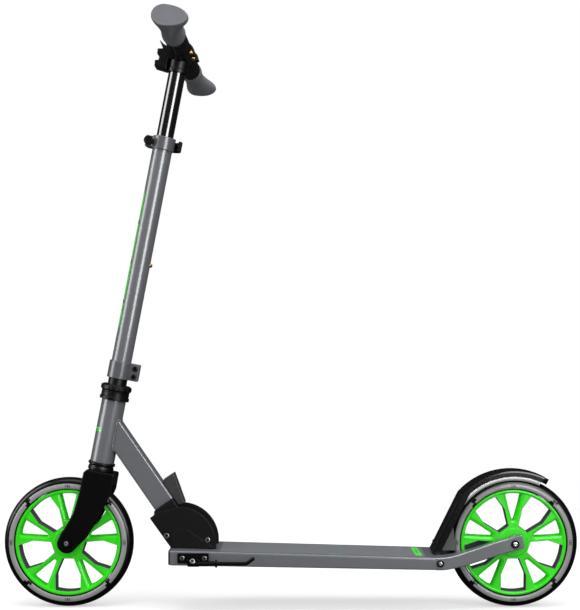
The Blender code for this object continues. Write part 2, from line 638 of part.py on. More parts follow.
def make_height_collar():
    """Quick-release collar at the top of the lower tube, with its skewer and thumb nut."""
    inner = TUBE_RADIUS + GAP
    collar = rod("height_collar", CLAMP_METAL, 0.0178, COLLAR_LOW, COLLAR_HIGH, parent=STEER, steps=32)
    middle = (COLLAR_LOW + COLLAR_HIGH) / 2
    lug = box("collar_lug", None, (0.0120, 0.0180, 0.0170), (-0.0215, 0, middle), parent=STEER)
    bore = rod("collar_bore", None, inner, 0.60, 0.66, parent=STEER, steps=32)
    slit = box("collar_slit", None, (0.03, 0.0020, 0.04), (-0.0260, 0, middle), parent=STEER)
    at = (SKEWER_ACROSS, 0, SKEWER_STATION)
    hole = rod("collar_hole", None, 0.0025 + GAP, -0.02, 0.02, at, ALONG_Y, STEER, 16)
    join(collar, lug)
    cut(collar, bore, slit, hole)
    skewer = [(0, 0.0088), (0.0025, 0.0088), (0.0025, -0.0093), (0.0040, -0.0093), (0.0040, -0.0118),
              (0.0074, -0.0118), (0.0074, -0.0190), (0.0062, -0.0205), (0.0040, -0.0205),
              (0.0036, -0.0193), (0, -0.0193)]
    turned("qr_skewer", BLACK_PLASTIC, skewer, at, ALONG_Y, STEER, 20)


def make_qr_lever():
    """Cam lever: a round cam beside the collar lug and an arm that wraps round behind the tube."""
    pivot = Vector((SKEWER_ACROSS, 0.0150, SKEWER_STATION))
    start, end, count = 140, -18, 14
    outer = []
    inner = []
    for i in range(count + 1):
        share = i / count
        angle = math.radians(start + (end - start) * share)
        for side, near, far in ((inner, 0.0186, 0.0245), (outer, 0.0228, 0.0300)):
            radius = near + (far - near) * share
            side.append((radius * math.cos(angle) - pivot.x, radius * math.sin(angle) - pivot.y))
    cam = arc((0.0, 0.0), 0.0054, 50, 290, 10)
    plate("qr_lever", BLACK_PLASTIC, [outer[:1:-1] + cam + inner], 0.0160, pivot, (0, 0, 0), STEER)


def make_height_button():
    """Sprung brass button that locks the telescopic tube at its height."""
    profile = [(0, 0.0190), (0.0018, 0.0186), (0.0030, 0.0172), (0.0034, 0.0155), (0.0034, 0.0137),
               (0, 0.0137)]
    turned("height_button", BRASS, profile, (0, 0, HEIGHT_BUTTON_STATION), ALONG_X, STEER, 12)


# ---- telescopic tube and handlebar ------------------------------------------------------
def make_inner_tube():
    """Black telescopic tube, with a slot for the height button."""
    tube = sleeve("inner_tube", BLACK_GLOSS, INNER_TUBE_RADIUS, 0.0116, 0.4200, 0.7570, parent=STEER,
                  steps=28)
    slot = box("button_slot", None, (0.010, 0.0082, 0.150), (0.0140, 0, 0.4600), parent=STEER)
    cut(tube, slot)


def make_t_head():
    """Black T joint: a cross sleeve for the handles over a socket for the telescopic tube."""
    at = (BAR_SETBACK, 0, BAR_STATION)
    head = rod("t_head", BLACK_PLASTIC, SLEEVE_RADIUS, -SLEEVE_HALF_WIDTH, SLEEVE_HALF_WIDTH, at, ALONG_Y,
               STEER, 32)
    socket = rod("t_socket", None, 0.0160, 0.7415, 0.7700, parent=STEER, steps=32)
    tube_bore = rod("t_tube_bore", None, INNER_TUBE_RADIUS + GAP, 0.70, 0.7574, parent=STEER, steps=32)
    bar_bore = rod("t_bar_bore", None, HANDLE_TUBE_RADIUS + GAP, -0.05, 0.05, at, ALONG_Y, STEER, 32)
    join(head, socket, solver="MANIFOLD")
    cut(head, tube_bore, bar_bore, solver="MANIFOLD")
    for side in (-1, 1):
        spot = (BAR_SETBACK + 0.013, side * HANDLE_BUTTON_Y, BAR_STATION)
        hole = rod("t_button_hole", None, 0.0029 + GAP, -0.006, 0.006, spot, ALONG_X, STEER, 16)
        cut(head, hole, solver="MANIFOLD")


def make_bar_clips():
    """Front holder that stows the removed handles, and the rear strap loop."""
    front = [(-0.0164, 0.7420), (-0.0164, 0.7760), (-0.0215, 0.7790), (-0.0262, 0.7800),
             (-0.0355, 0.7865), (-0.0270, 0.7735), (-0.0350, 0.7720), (-0.0345, 0.7640),
             (-0.0300, 0.7610), (-0.0305, 0.7550), (-0.0360, 0.7535), (-0.0350, 0.7440)]
    in_steering_plane("front_holder", BLACK_PLASTIC, [front], 0.0280, bevel=0.0008)
    centre = (BAR_SETBACK, BAR_STATION)
    outer = arc(centre, 0.0190, 118, 18, 10)
    inner = arc(centre, SLEEVE_RADIUS + GAP, 0, 118, 10)
    tail = [(0.0262, 0.7752), (0.0300, 0.7675), (0.0265, 0.7655), (0.0220, 0.7720)]
    in_steering_plane("strap_loop", BLACK_PLASTIC, [outer + tail + inner], 0.0150)


def grip_ring(y, half_width, half_height, setback, wing, count=24):
    """One cross-section of a grip: an oval whose rear half is drawn out into a palm rest."""
    ring = []
    for i in range(count):
        angle = 2 * math.pi * i / count
        across = half_width * math.cos(angle)
        if across > 0:
            across *= 1 + wing
        droop = -0.25 * max(across - half_width * 0.4, 0.0)
        thin = 1 - 0.45 * wing * max(math.cos(angle), 0.0)
        ring.append((BAR_SETBACK + setback + across, y,
                     BAR_STATION + half_height * thin * math.sin(angle) + droop))
    return ring


GRIP_SHAPE = (                       # station, half width, half height, setback, wing
    (0.0, 0.0157, 0.0157, 0.0, 0.00),
    (0.10, 0.0160, 0.0158, 0.0, 0.02),
    (0.30, 0.0166, 0.0152, 0.0, 0.12),
    (0.50, 0.0176, 0.0150, 0.0, 0.35),
    (0.70, 0.0190, 0.0152, 0.0, 0.62),
    (0.88, 0.0202, 0.0156, 0.0, 0.78),
    (0.97, 0.0204, 0.0156, 0.0, 0.76),
    (1.0, 0.0186, 0.0140, 0.0, 0.72),
)


def make_handle(side, label):
    """Handle tube, ribbed collar, winged grip and snap button of one side."""
    at = (BAR_SETBACK, 0, BAR_STATION)
    turn = (-side * math.pi / 2, 0, 0)
    tube = sleeve("handle_tube_" + label, BLACK_GLOSS, HANDLE_TUBE_RADIUS, 0.0095, 0.0090, 0.2360, at, turn,
                  STEER, 20)
    spot = (BAR_SETBACK + 0.010, side * HANDLE_BUTTON_Y, BAR_STATION)
    cut(tube, rod("handle_hole_" + label, None, 0.0029 + GAP, -0.004, 0.004, spot, ALONG_X, STEER, 16))

    low = SLEEVE_HALF_WIDTH + 0.001
    high = GRIP_INNER - GAP
    ribs = 4
    pitch = (high - low) / ribs
    profile = []
    for k in range(ribs):
        top = high - k * pitch
        profile += [(0.0165, top), (0.0165, top - 0.62 * pitch), (0.0146, top - 0.66 * pitch),
                    (0.0146, top - 0.96 * pitch)]
    profile += [(HANDLE_TUBE_RADIUS + GAP, low), (HANDLE_TUBE_RADIUS + GAP, high)]
    turned("handle_collar_" + label, BLACK_PLASTIC, profile, at, turn, STEER, 20)

    length = GRIP_OUTER - GRIP_INNER
    rings = [grip_ring(side * (GRIP_INNER + share * length), *shape) for share, *shape in GRIP_SHAPE]
    grip = loft("grip_" + label, GRIP_RUBBER, rings, STEER)
    bore = rod("grip_bore_" + label, None, HANDLE_TUBE_RADIUS + GAP, GRIP_INNER - 0.01, 0.2365, at, turn,
               STEER, 20)
    cut(grip, bore)

    button = [(0, 0.0180), (0.0016, 0.0176), (0.0026, 0.0164), (0.0029, 0.0150), (0.0029, 0.0114),
              (0, 0.0114)]
    turned("handle_button_" + label, BRASS, button, (BAR_SETBACK, side * HANDLE_BUTTON_Y, BAR_STATION),
           ALONG_X, STEER, 12)


def loft(name, mat, rings, parent):
    """A closed skin through rings of equal point counts, its faces turned outwards."""
    mesh = bpy.data.meshes.new(name)
    form = bmesh.new()
    rows = [[form.verts.new(point) for point in ring] for ring in rings]
    for row, following in zip(rows, rows[1:]):
        for i in range(len(row)):
            j = (i + 1) % len(row)
            form.faces.new((row[i], row[j], following[j], following[i]))
    form.faces.new(rows[0])
    form.faces.new(rows[-1])
    bmesh.ops.recalc_face_normals(form, faces=form.faces)
    form.to_mesh(mesh)
    form.free()
    return add(name, mesh, mat, parent=parent)


# ---- kickstand --------------------------------------------------------------------------
def make_kickstand():
    """Side stand: bracket with two screws, tilted pivot pin, sprung arm."""
    tilt = (-math.pi / 2 - KICK_SPLAY, 0, 0)      # turns +Z to the dipped hinge axis
    face = -DECK_HALF_WIDTH - GAP
    bracket = box("kickstand_bracket", BLACK_PAINT, (0.0474, 0.0030, 0.0155),
                  (-0.1474, face - 0.0015, 0.0826), bevel=0.0006)
    lug = box("kickstand_lug", None, (0.0180, 0.0058, 0.0110), (-0.1466, face - 0.0029, 0.0758))
    pin_hole = rod("kickstand_pin_hole", None, 0.0022 + GAP, -0.004, 0.020, KICK_PIVOT, tilt, steps=16)
    join(bracket, lug)
    cut(bracket, pin_hole)
    for label, x, z in (("front", -0.1637, 0.0834), ("rear", -0.1300, 0.0828)):
        hole = rod("kickstand_screw_hole_" + label, None, 0.0020 + GAP, -0.01, 0.01, (x, face, z),
                   ALONG_Y, steps=16)
        cut(bracket, hole)
        profile = [(0, -0.0003), (0.0020, -0.0003), (0.0020, -0.0033), (0.0038, -0.0033),
                   (0.0038, -0.0046), (0.0026, -0.0056), (0, -0.0056)]
        turned("kickstand_screw_" + label, STEEL, profile, (x, face, z), ALONG_Y, steps=12)
    pin = [(0, 0.0105), (0.0022, 0.0105), (0.0022, -0.0035), (0.0040, -0.0035), (0.0036, -0.0052),
           (0, -0.0056)]
    turned("kickstand_pin", STEEL, pin, KICK_PIVOT, tilt, steps=16)

    eye = rod("kickstand_arm", BLACK_PLASTIC, 0.0050, -0.0030, 0.0030, KICK_PIVOT, tilt, steps=20)
    y = KICK_PIVOT.y
    path = [(-0.1445, y, 0.0775), (-0.1400, y, 0.0764), (-0.0680, y, 0.0764), (-0.0645, y, 0.0775),
            (-0.0560, y, 0.0840)]
    shank = tube_along("kickstand_shank", None, path, 0.00275)
    hole = rod("kickstand_eye_hole", None, 0.0022 + GAP, -0.01, 0.01, KICK_PIVOT, tilt, steps=16)
    stop = rod("kickstand_stop", None, 0.0058, 0.0, 0.0028, (-0.1129, y, 0.0764), ALONG_X, steps=20)
    join(eye, shank, stop, solver="MANIFOLD")
    cut(eye, hole, solver="MANIFOLD")
    turns = 4
    low = 0.0
    high = 0.0260
    pitch = (high - low) / turns
    inner = 0.00275 + GAP
    profile = []
    for k in range(turns):
        top = high - k * pitch
        profile += [(0.0036, top), (0.0044, top - 0.35 * pitch), (0.0044, top - 0.55 * pitch),
                    (0.0036, top - 0.90 * pitch)]
    profile += [(inner, low), (inner, high)]
    turned("kickstand_spring", BLACK_PLASTIC, profile, (-0.1392, y, 0.0764), ALONG_X, steps=12)


def tube_along(name, mat, path, radius):
    """A round bar along a path, with filled ends."""
    curve = bpy.data.curves.new(name, "CURVE")
    curve.dimensions = "3D"
    curve.bevel_depth = radius
    curve.bevel_resolution = 2
    curve.use_fill_caps = True
    curve.render_resolution_u = 0
    spline = curve.splines.new("POLY")
    spline.points.add(len(path) - 1)
    for point, (x, y, z) in zip(spline.points, path):
        point.co = (x, y, z, 1.0)
    return curve_to_mesh(add(name, curve, mat))


# ---- assembly ---------------------------------------------------------------------------
make_deck()
make_rails()
make_axle("rear", AXLE_X, RAIL_OUTER, RAIL_INNER)
make_axle("front", -AXLE_X, FORK_OUTER, FORK_INNER)
make_wheel("rear", AXLE_X)
make_wheel("front", -AXLE_X)
make_fender()
make_fender_spring()
make_bracket()
make_neck()
make_release_lever()
make_fork()
make_headset_nut()
make_stem_clamp()
make_stem_tube()
make_height_collar()
make_qr_lever()
make_height_button()
make_inner_tube()
make_t_head()
make_bar_clips()
make_handle(-1, "left")
make_handle(1, "right")
make_kickstand()
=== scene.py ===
"""Looks of the folding kick scooter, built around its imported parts.

Metres, +Z up, front wheel at -X, rider's left at -Y, ground at Z = 0.
Every piece is a surface worked out as whole arrays, in the same frame as the CAD.
"""

import json
import math

import bmesh
import bpy
import numpy as np
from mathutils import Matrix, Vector
from mathutils.geometry import tessellate_polygon


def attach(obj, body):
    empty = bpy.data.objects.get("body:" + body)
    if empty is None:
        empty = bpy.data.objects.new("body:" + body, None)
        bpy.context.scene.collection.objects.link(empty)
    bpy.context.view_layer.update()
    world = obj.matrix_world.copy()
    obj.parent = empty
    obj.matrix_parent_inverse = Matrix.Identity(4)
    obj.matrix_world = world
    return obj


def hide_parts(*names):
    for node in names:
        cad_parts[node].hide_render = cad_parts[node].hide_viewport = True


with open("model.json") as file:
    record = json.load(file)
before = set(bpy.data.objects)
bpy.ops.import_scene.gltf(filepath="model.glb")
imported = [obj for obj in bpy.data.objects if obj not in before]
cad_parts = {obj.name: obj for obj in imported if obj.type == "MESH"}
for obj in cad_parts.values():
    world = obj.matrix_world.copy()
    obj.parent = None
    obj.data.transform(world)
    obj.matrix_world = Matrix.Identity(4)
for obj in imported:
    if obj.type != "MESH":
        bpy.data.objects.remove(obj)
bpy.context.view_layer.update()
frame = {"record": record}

# ---- the maker's dimensions, as in the CAD --------------------------------------------
AXLE = 0.3447
AXLE_HEIGHT = 0.100
LEAN = math.radians(10.94)
NECK_LEAN = math.radians(34.65)
STEER_FOOT = (-0.3179, 0.0, 0.100)
FOLD_PIVOT = (-0.1904, 0.0, 0.1129)
BAR_ACROSS = 0.003
BAR_ALONG = 0.773
FENDER_PIVOT = (0.2281, 0.0, 0.0736)
DECK_FRONT = -0.183
DECK_REAR = 0.221
DECK_TOP = 0.0939                    # height of the deck's top at its front end
DECK_SLOPE = 0.0269                  # fall of the top, per metre of length
DECK_UNDERSIDE = 0.0711
UNDERSIDE_SLOPE = 0.0175
FENDER_RADIUS = 0.1120
TUBE = 0.0154
INNER_TUBE = 0.0132
HEIGHT_BUTTON = 0.440                # stations along the stem
COLLAR_MIDDLE = 0.6298
HANDLE_BUTTON = 0.020                # out from the middle of the bar
GRIP_START = 0.118
GRIP_LENGTH = 0.126
TAU = 2 * math.pi
BODIES = frame["record"]["behaviour"]["bodies"]
BODY_OF = {node: body for body, nodes in BODIES.items() for node in nodes}


# ---- places ---------------------------------------------------------------------------
def unit(v):
    v = np.asarray(v, float)
    return v / np.linalg.norm(v, axis=-1, keepdims=True)


def place(origin, across, along):
    """A local frame: z runs along, x lies towards across, y completes the right hand."""
    z = unit(along)
    x = unit(np.asarray(across, float) - np.dot(across, z) * z)
    turn = np.stack([x, np.cross(z, x), z])
    return lambda points: np.asarray(points, float) @ turn + np.asarray(origin, float)


NEAR = (0.0, -1.0, 0.0)
ACROSS = (math.cos(LEAN), 0.0, -math.sin(LEAN))
UP_STEM = (math.sin(LEAN), 0.0, math.cos(LEAN))
NECK_ACROSS = (math.cos(NECK_LEAN), 0.0, math.sin(NECK_LEAN))
NECK_UP = (-math.sin(NECK_LEAN), 0.0, math.cos(NECK_LEAN))
STEM = place(STEER_FOOT, ACROSS, UP_STEM)                # x across, y to the right, z up the stem
STEM_SIDE = place(STEER_FOOT, ACROSS, NEAR)              # x across, y up the stem, z to the left
NECK_SIDE = place(FOLD_PIVOT, NECK_ACROSS, NEAR)         # x across the neck, y up it, z to the left
WORLD_SIDE = place((0, 0, 0), (1, 0, 0), NEAR)           # x = X, y = Z, z = -Y


def wheel_side(centre_x):
    return place((centre_x, 0, AXLE_HEIGHT), (1, 0, 0), NEAR)


def bar_place(side):
    return place(STEM((BAR_ACROSS, 0, BAR_ALONG)), ACROSS, (0, side, 0))


# ---- outlines -------------------------------------------------------------------------
def ring(radius, start=0.0, end=360.0, count=72, centre=(0.0, 0.0), closed=None):
    """Points on a circle: centre + radius (cos a, sin a), from one angle to another in degrees."""
    whole = abs(end - start) >= 360 if closed is None else closed
    a = np.radians(np.linspace(start, end, count, endpoint=not whole))
    return np.asarray(centre) + radius * np.stack([np.cos(a), np.sin(a)], -1)


def rounded(points, radius, steps=4, closed=True, hold=0.25, bent=14):
    """An outline with each corner P drawn as (1-s)^2 A + 2 s (1-s) P + s^2 B, between points
    A and B a tangent length away; a further point just outside each keeps the flats flat."""
    p = np.asarray(points, float)
    before, after = np.roll(p, 1, 0) - p, np.roll(p, -1, 0) - p
    la, lb = (np.linalg.norm(d, axis=1, keepdims=True) + 1e-12 for d in (before, after))
    before, after = before / la, after / lb
    half = np.arccos(np.clip((before * after).sum(1, keepdims=True), -1, 1)) / 2
    cut = np.reshape(radius * np.ones(len(p)), (-1, 1)) / np.maximum(np.tan(half), 1e-6)
    cut = np.minimum(cut, 0.40 * np.minimum(la, lb))
    a, b = p + cut * before, p + cut * after
    s = np.linspace(0, 1, steps + 1).reshape(1, -1, 1)
    bend = (1 - s) ** 2 * a[:, None] + 2 * s * (1 - s) * p[:, None] + s ** 2 * b[:, None]
    out = np.concatenate([(a + hold * cut * before)[:, None], bend, (b + hold * cut * after)[:, None]], 1)
    gentle = (np.pi - 2 * half[:, 0]) < math.radians(bent)
    out[gentle] = p[gentle][:, None]
    if closed:
        out = out.reshape(-1, p.shape[1])
    else:
        out = np.concatenate([p[:1], out[1:-1].reshape(-1, p.shape[1]), p[-1:]])
    return out[np.linalg.norm(out - np.roll(out, 1, 0), axis=1) > 1e-9]


def box_outline(left, low, right, high):
    return np.array([(left, low), (right, low), (right, high), (left, high)])


def inset(outline, distance):
    """Each point moves along its own normal, into the outline: p + d (n1 + n2) / (1 + n1.n2)."""
    p = np.asarray(outline, float)
    area = 0.5 * np.sum(p[:, 0] * np.roll(p[:, 1], -1) - np.roll(p[:, 0], -1) * p[:, 1])
    e = unit(np.roll(p, -1, 0) - p + 1e-12)
    n2 = np.stack([-e[:, 1], e[:, 0]], 1) * np.sign(area)
    n1 = np.roll(n2, 1, 0)
    return p + distance * (n1 + n2) / np.maximum(1 + (n1 * n2).sum(1, keepdims=True), 0.4)


# ---- shells ---------------------------------------------------------------------------
class Shell:
    """Grids and flat lids of one piece, kept as whole arrays until the mesh is made."""

    def __init__(self):
        self.points, self.faces, self.slots, self.flat, self.count = [], [], [], [], 0

    def _keep(self, points, faces, slot, flat):
        self.points.append(np.asarray(points, float).reshape(-1, 3))
        self.faces += (np.asarray(faces) + self.count).tolist()
        self.slots += [slot] * len(faces)
        self.flat += [flat] * len(faces)
        self.count += len(self.points[-1])

    def grid(self, points, wrap=(False, False), slot=0, flat=False):
        """Four-sided faces over points p[i, j]; wrap joins the last row or column to the first."""
        n, m = points.shape[:2]
        i = np.arange(n if wrap[0] else n - 1)[:, None]
        j = np.arange(m if wrap[1] else m - 1)[None]
        k, r = (i + 1) % n, (j + 1) % m
        quads = np.stack([i * m + j, k * m + j, k * m + r, i * m + r], -1).reshape(-1, 4)
        self._keep(points, quads, slot, flat)
        return self

    def lid(self, loops, slot=0):
        """A flat face inside the first loop, less the others."""
        tris = tessellate_polygon([[tuple(p) for p in loop] for loop in loops])
        self._keep(np.concatenate(loops), np.array(tris), slot, True)
        return self

    def make(self, name, finishes, node, sharp=32):
        """The mesh, its doubles merged and its normals outward, riding on the body of its CAD node."""
        mesh = bpy.data.meshes.new(name)
        mesh.from_pydata(np.concatenate(self.points), [], self.faces)
        mesh.polygons.foreach_set("material_index", self.slots)
        mesh.polygons.foreach_set("use_smooth", [not f for f in self.flat])
        form = bmesh.new()
        form.from_mesh(mesh)
        bmesh.ops.remove_doubles(form, verts=form.verts, dist=2e-6)
        bmesh.ops.dissolve_degenerate(form, edges=form.edges, dist=1e-7)
        bmesh.ops.recalc_face_normals(form, faces=form.faces)
        form.to_mesh(mesh)
        form.free()
        smooth = np.zeros(len(mesh.polygons), bool)
        mesh.polygons.foreach_get("use_smooth", smooth)
        mesh.set_sharp_from_angle(angle=math.radians(sharp))
        mesh.polygons.foreach_set("use_smooth", smooth)
        for finish in finishes if isinstance(finishes, list) else [finishes]:
            mesh.materials.append(finish.material)
        piece = bpy.data.objects.new(name, mesh)
        bpy.context.scene.collection.objects.link(piece)
        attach(piece, BODY_OF[node])
        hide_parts(node)
        return piece


def spin(shell, profile, where, steps=96, slot=0):
    """A profile (radius, height) spun about z: x = r cos a, y = r sin a, z = height. One that starts
    and ends off the axis is closed on itself."""
    r, h = np.asarray(profile, float).T
    a = np.linspace(0, TAU, steps, endpoint=False)[:, None]
    closed = bool(r[0] > 0 and r[-1] > 0)
    points = np.stack([r * np.cos(a), r * np.sin(a), h + 0 * a], -1)
    return shell.grid(where(points), (True, closed), slot)


def pipe(shell, outer, inner, low, high, where, edge=0.0006, steps=96):
    """A hollow round bar with rolled edges."""
    return spin(shell, rounded(box_outline(inner, low, outer, high), edge, 3), where, steps)


def shank(shell, where, radius, start, end, steps=32):
    """The plain round length of a bolt, or of a drill."""
    return spin(shell, [(0, start), (radius, start), (radius, end), (0, end)], where, steps)


def button_head(shell, where, radius, base, top, dome, recess, sides, floor_slot):
    """A bolt head: a spun rim whose top turns, ring by ring, into a many-sided recess.
    Recess radius: R cos(pi/n) / cos((a mod 2 pi/n) - pi/n)."""
    a = np.linspace(0, TAU, 48, endpoint=False)[:, None]
    wedge = TAU / sides
    many_sided = math.cos(wedge / 2) / np.cos(np.mod(a, wedge) - wedge / 2)
    up = np.sign(top - base)
    rim = [(0.0, base), (radius, base), (radius, top - up * dome), (0.93 * radius, top - up * 0.35 * dome),
           (0.78 * radius, top), (0.70 * radius, top)]
    socket = [(0.56 * radius, top), (0.53 * radius, top - up * 0.0001), (0.52 * radius, top - up * recess),
              (0.0, top - up * recess)]
    rings = [(r * (1 + 0 * a), z) for r, z in rim] + [(r * many_sided, z) for r, z in socket]
    points = np.stack([np.concatenate([r * np.cos(a), r * np.sin(a), 0 * a + z], 1) for r, z in rings], 1)
    shell.grid(where(points[:, :-2]), (True, False), 0)
    # The socket takes floor_slot; where that finish is darker than the rim, it is painted shade in the
    # recess.
    return shell.grid(where(points[:, -3:]), (True, False), floor_slot)


def plate(shell, outline, low, high, where, edge=0.0008, holes=(), hole_slots=None, hole_edges=None, steps=3):
    """A flat part: each loop is carried from low to high, and its edges roll over by a quarter
    circle, inset = e (1 - sin t), drop = e (1 - cos t); the lids lie between the loops."""
    def wall(loop, e, sign, wall_slot):
        t = np.linspace(0, math.pi / 2, steps + 1)
        ins, drop = e * (1 - np.sin(t)), e * (1 - np.cos(t))
        hold = min(0.3 * e, 0.2 * (high - low - 2 * e))
        levels = [(i, high - d) for i, d in zip(ins, drop)] + [(0, high - e - hold), (0, low + e + hold)]
        levels += [(i, low + d) for i, d in zip(ins[::-1], drop[::-1])]
        rings = [np.c_[inset(loop, sign * i), np.full(len(loop), z)] for i, z in levels]
        shell.grid(where(np.stack(rings, 1)), (True, False), wall_slot)
        return rings[0], rings[-1]

    hole_slots = hole_slots or [0] * len(holes)
    hole_edges = hole_edges or [edge] * len(holes)
    loops = [wall(outline, edge, 1, 0)]
    loops += [wall(hole, e, -1, slot) for hole, e, slot in zip(holes, hole_edges, hole_slots)]
    tops, bottoms = zip(*loops)
    shell.lid([where(t) for t in tops])
    return shell.lid([where(b) for b in bottoms])


def tube(shell, path, radius, side, steps):
    """A round bar along a path: p + r (cos a N + sin a B), where N and B stand square to the path;
    its ends are half balls, set out by r cos t along the path and r sin t in radius."""
    p = np.asarray(path, float)
    along = unit(np.gradient(p, axis=0))
    n = unit(np.cross(along, side))
    b = np.cross(along, n)
    t = np.radians([[0], [30], [60], [80]])
    reach, small = radius * np.cos(t), radius * np.sin(t)
    r = np.concatenate([small, np.full((len(p), 1), radius), small[::-1]])
    p = np.concatenate([p[0] - along[0] * reach, p, p[-1] + along[-1] * reach[::-1]])
    ends = [0] * len(t), [-1] * len(t)
    n, b = (np.concatenate([v[ends[0]], v, v[ends[1]]]) for v in (n, b))
    a = np.linspace(0, TAU, steps, endpoint=False)[None, :, None]
    points = p[:, None] + r[:, None] * (np.cos(a) * n[:, None] + np.sin(a) * b[:, None])
    return shell.grid(points, (False, True))


def smooth_path(points, count):
    """A cubic through the points (Catmull-Rom), at evenly spread parameters."""
    p = np.asarray(points, float)
    p = np.concatenate([[2 * p[0] - p[1]], p, [2 * p[-1] - p[-2]]])
    t = np.linspace(0, len(p) - 3 - 1e-9, count)
    i = t.astype(int)
    f = (t - i)[:, None]
    a, b, c, d = p[i], p[i + 1], p[i + 2], p[i + 3]
    return 0.5 * (2 * b + (c - a) * f + (2 * a - 5 * b + 4 * c - d) * f ** 2
                  + (3 * b - a - 3 * c + d) * f ** 3)


def blendstep(x, low, high):
    """0 below low, 1 above high, and 3 t^2 - 2 t^3 between."""
    t = np.clip((x - low) / (high - low), 0, 1)
    return t * t * (3 - 2 * t)


def beam(rings):
    """A solid whose sections are joined one after another and closed by a flat lid at both ends."""
    return Shell().grid(np.stack(rings), (False, True)).lid([rings[0]]).lid([rings[-1]])


# ---- finishes -------------------------------------------------------------------------
def linear(code):
    """A hex colour in linear light: c / 12.92 below 0.04045, else ((c + 0.055) / 1.055) ^ 2.4."""
    c = np.array([int(code[k:k + 2], 16) for k in (0, 2, 4)]) / 255
    return tuple(np.where(c <= 0.04045, c / 12.92, ((c + 0.055) / 1.055) ** 2.4)) + (1.0,)


class Value:
    """A shader socket; arithmetic on it adds Math nodes."""

    def __init__(self, tree, socket):
        self.tree, self.socket = tree, socket

    def math(self, operation, *others, before=None):
        node = self.tree.nodes.new("ShaderNodeMath")
        node.operation = operation
        for socket, value in zip(node.inputs, ([] if before is None else [before]) + [self, *others]):
            feed(self.tree, socket, value)
        return Value(self.tree, node.outputs[0])

    def __add__(self, other):
        return self.math("ADD", other)

    def __sub__(self, other):
        return self.math("SUBTRACT", other)

    def __rsub__(self, other):
        return self.math("SUBTRACT", before=other)

    def __mul__(self, other):
        return self.math("MULTIPLY", other)

    def __gt__(self, other):
        return self.math("GREATER_THAN", other)

    def __lt__(self, other):
        return self.math("LESS_THAN", other)

    def __abs__(self):
        return self.math("ABSOLUTE")

    __radd__, __rmul__ = __add__, __mul__

    def fade(self, low, high):
        """A smooth step from 0 at low to 1 at high."""
        node = self.tree.nodes.new("ShaderNodeMapRange")
        node.interpolation_type = "SMOOTHSTEP"
        feed(self.tree, node.inputs["Value"], self)
        node.inputs["From Min"].default_value, node.inputs["From Max"].default_value = low, high
        return Value(self.tree, node.outputs[0])


def feed(tree, socket, value):
    if isinstance(value, Value):
        tree.links.new(value.socket, socket)
    else:
        socket.default_value = value


class Finish:
    """A Principled finish whose constants sit on its sockets; patterns read Object coordinates."""

    def __init__(self, name, colour, roughness, metallic=0.0, **constants):
        self.material = bpy.data.materials.new(name)
        self.material.use_nodes = True
        self.material.diffuse_color = linear(colour)
        self.tree = self.material.node_tree
        self.shader = self.tree.nodes["Principled BSDF"]
        self.base = linear(colour)
        self.place = Value(self.tree, self.tree.nodes.new("ShaderNodeTexCoord").outputs["Object"])
        self.set(Base_Color=self.base, Roughness=roughness, Metallic=metallic, **constants)

    def set(self, **sockets):
        for name, value in sockets.items():
            feed(self.tree, self.shader.inputs[name.replace("_", " ")], value)
        return self

    def node(self, kind, sockets, out=0, **settings):
        node = self.tree.nodes.new("ShaderNode" + kind)
        for name, value in settings.items():
            setattr(node, name, value)
        for name, value in sockets.items():
            feed(self.tree, node.inputs[name], value)
        return Value(self.tree, node.outputs[out])

    def noise(self, scale, detail=2.0, rough=0.5, at=None):
        return self.node("TexNoise", {"Vector": at or self.place, "Scale": scale, "Detail": detail,
                                      "Roughness": rough})

    def cells(self, scale):
        return self.node("TexVoronoi", {"Vector": self.place, "Scale": scale})

    def stretched(self, scale):
        return self.node("Mapping", {"Vector": self.place, "Scale": scale})

    def along(self, direction, origin=(0, 0, 0)):
        """Distance from the origin along a direction: (P - O) . d."""
        moved = self.node("VectorMath", {0: self.place, 1: origin}, operation="SUBTRACT")
        return self.node("VectorMath", {0: moved, 1: direction}, 1, operation="DOT_PRODUCT")

    def mix(self, share, first, second):
        """From the first colour to the second; 6, 7 and 2 are the Mix node's colour sockets."""
        node = self.tree.nodes.new("ShaderNodeMix")
        node.data_type = "RGBA"
        feed(self.tree, node.inputs["Factor"], share)
        feed(self.tree, node.inputs[6], first)
        feed(self.tree, node.inputs[7], second)
        return Value(self.tree, node.outputs[2])

    def bump(self, height, depth, strength=1.0):
        return self.set(Normal=self.node("Bump", {"Height": height, "Distance": depth, "Strength": strength}))

    def polar(self, centre_x):
        """Radius and angle about a wheel's axle: sqrt(x^2 + z^2) and atan2(z, x)."""
        east = self.along((1, 0, 0), (centre_x, 0, AXLE_HEIGHT))
        up = self.along((0, 0, 1), (centre_x, 0, AXLE_HEIGHT))
        return (east * east + up * up).math("SQRT"), up.math("ARCTAN2", east)

    def shade(self, scale, amount, detail=2.0):
        """A soft cloudy share around 0.5, for slight changes of tone."""
        return (self.noise(scale, detail) - 0.5) * amount + 0.5


def tint(code, gain):
    return tuple(min(1.0, c * gain) for c in linear(code)[:3]) + (1.0,)


def painted(name, code, roughness=0.50, coat=0.9, flake=0.10, peel=0.0000012, gloss=1.6):
    """Sprayed paint: a faint cloud of tone, fine flakes in the gloss and an orange-peel skin."""
    f = Finish(name, code, roughness, Coat_Weight=coat, Coat_Roughness=0.19, Coat_IOR=gloss,
               Specular_IOR_Level=0.25)
    f.tone = f.mix(f.shade(14, 0.8, 3), tint(code, 0.94), tint(code, 1.06))
    f.set(Base_Color=f.tone)
    f.set(Roughness=(f.noise(2600, 1) - 0.5) * flake + (f.noise(22, 3) - 0.5) * 0.10 + roughness)
    return f.bump(f.noise(160, 1), peel)


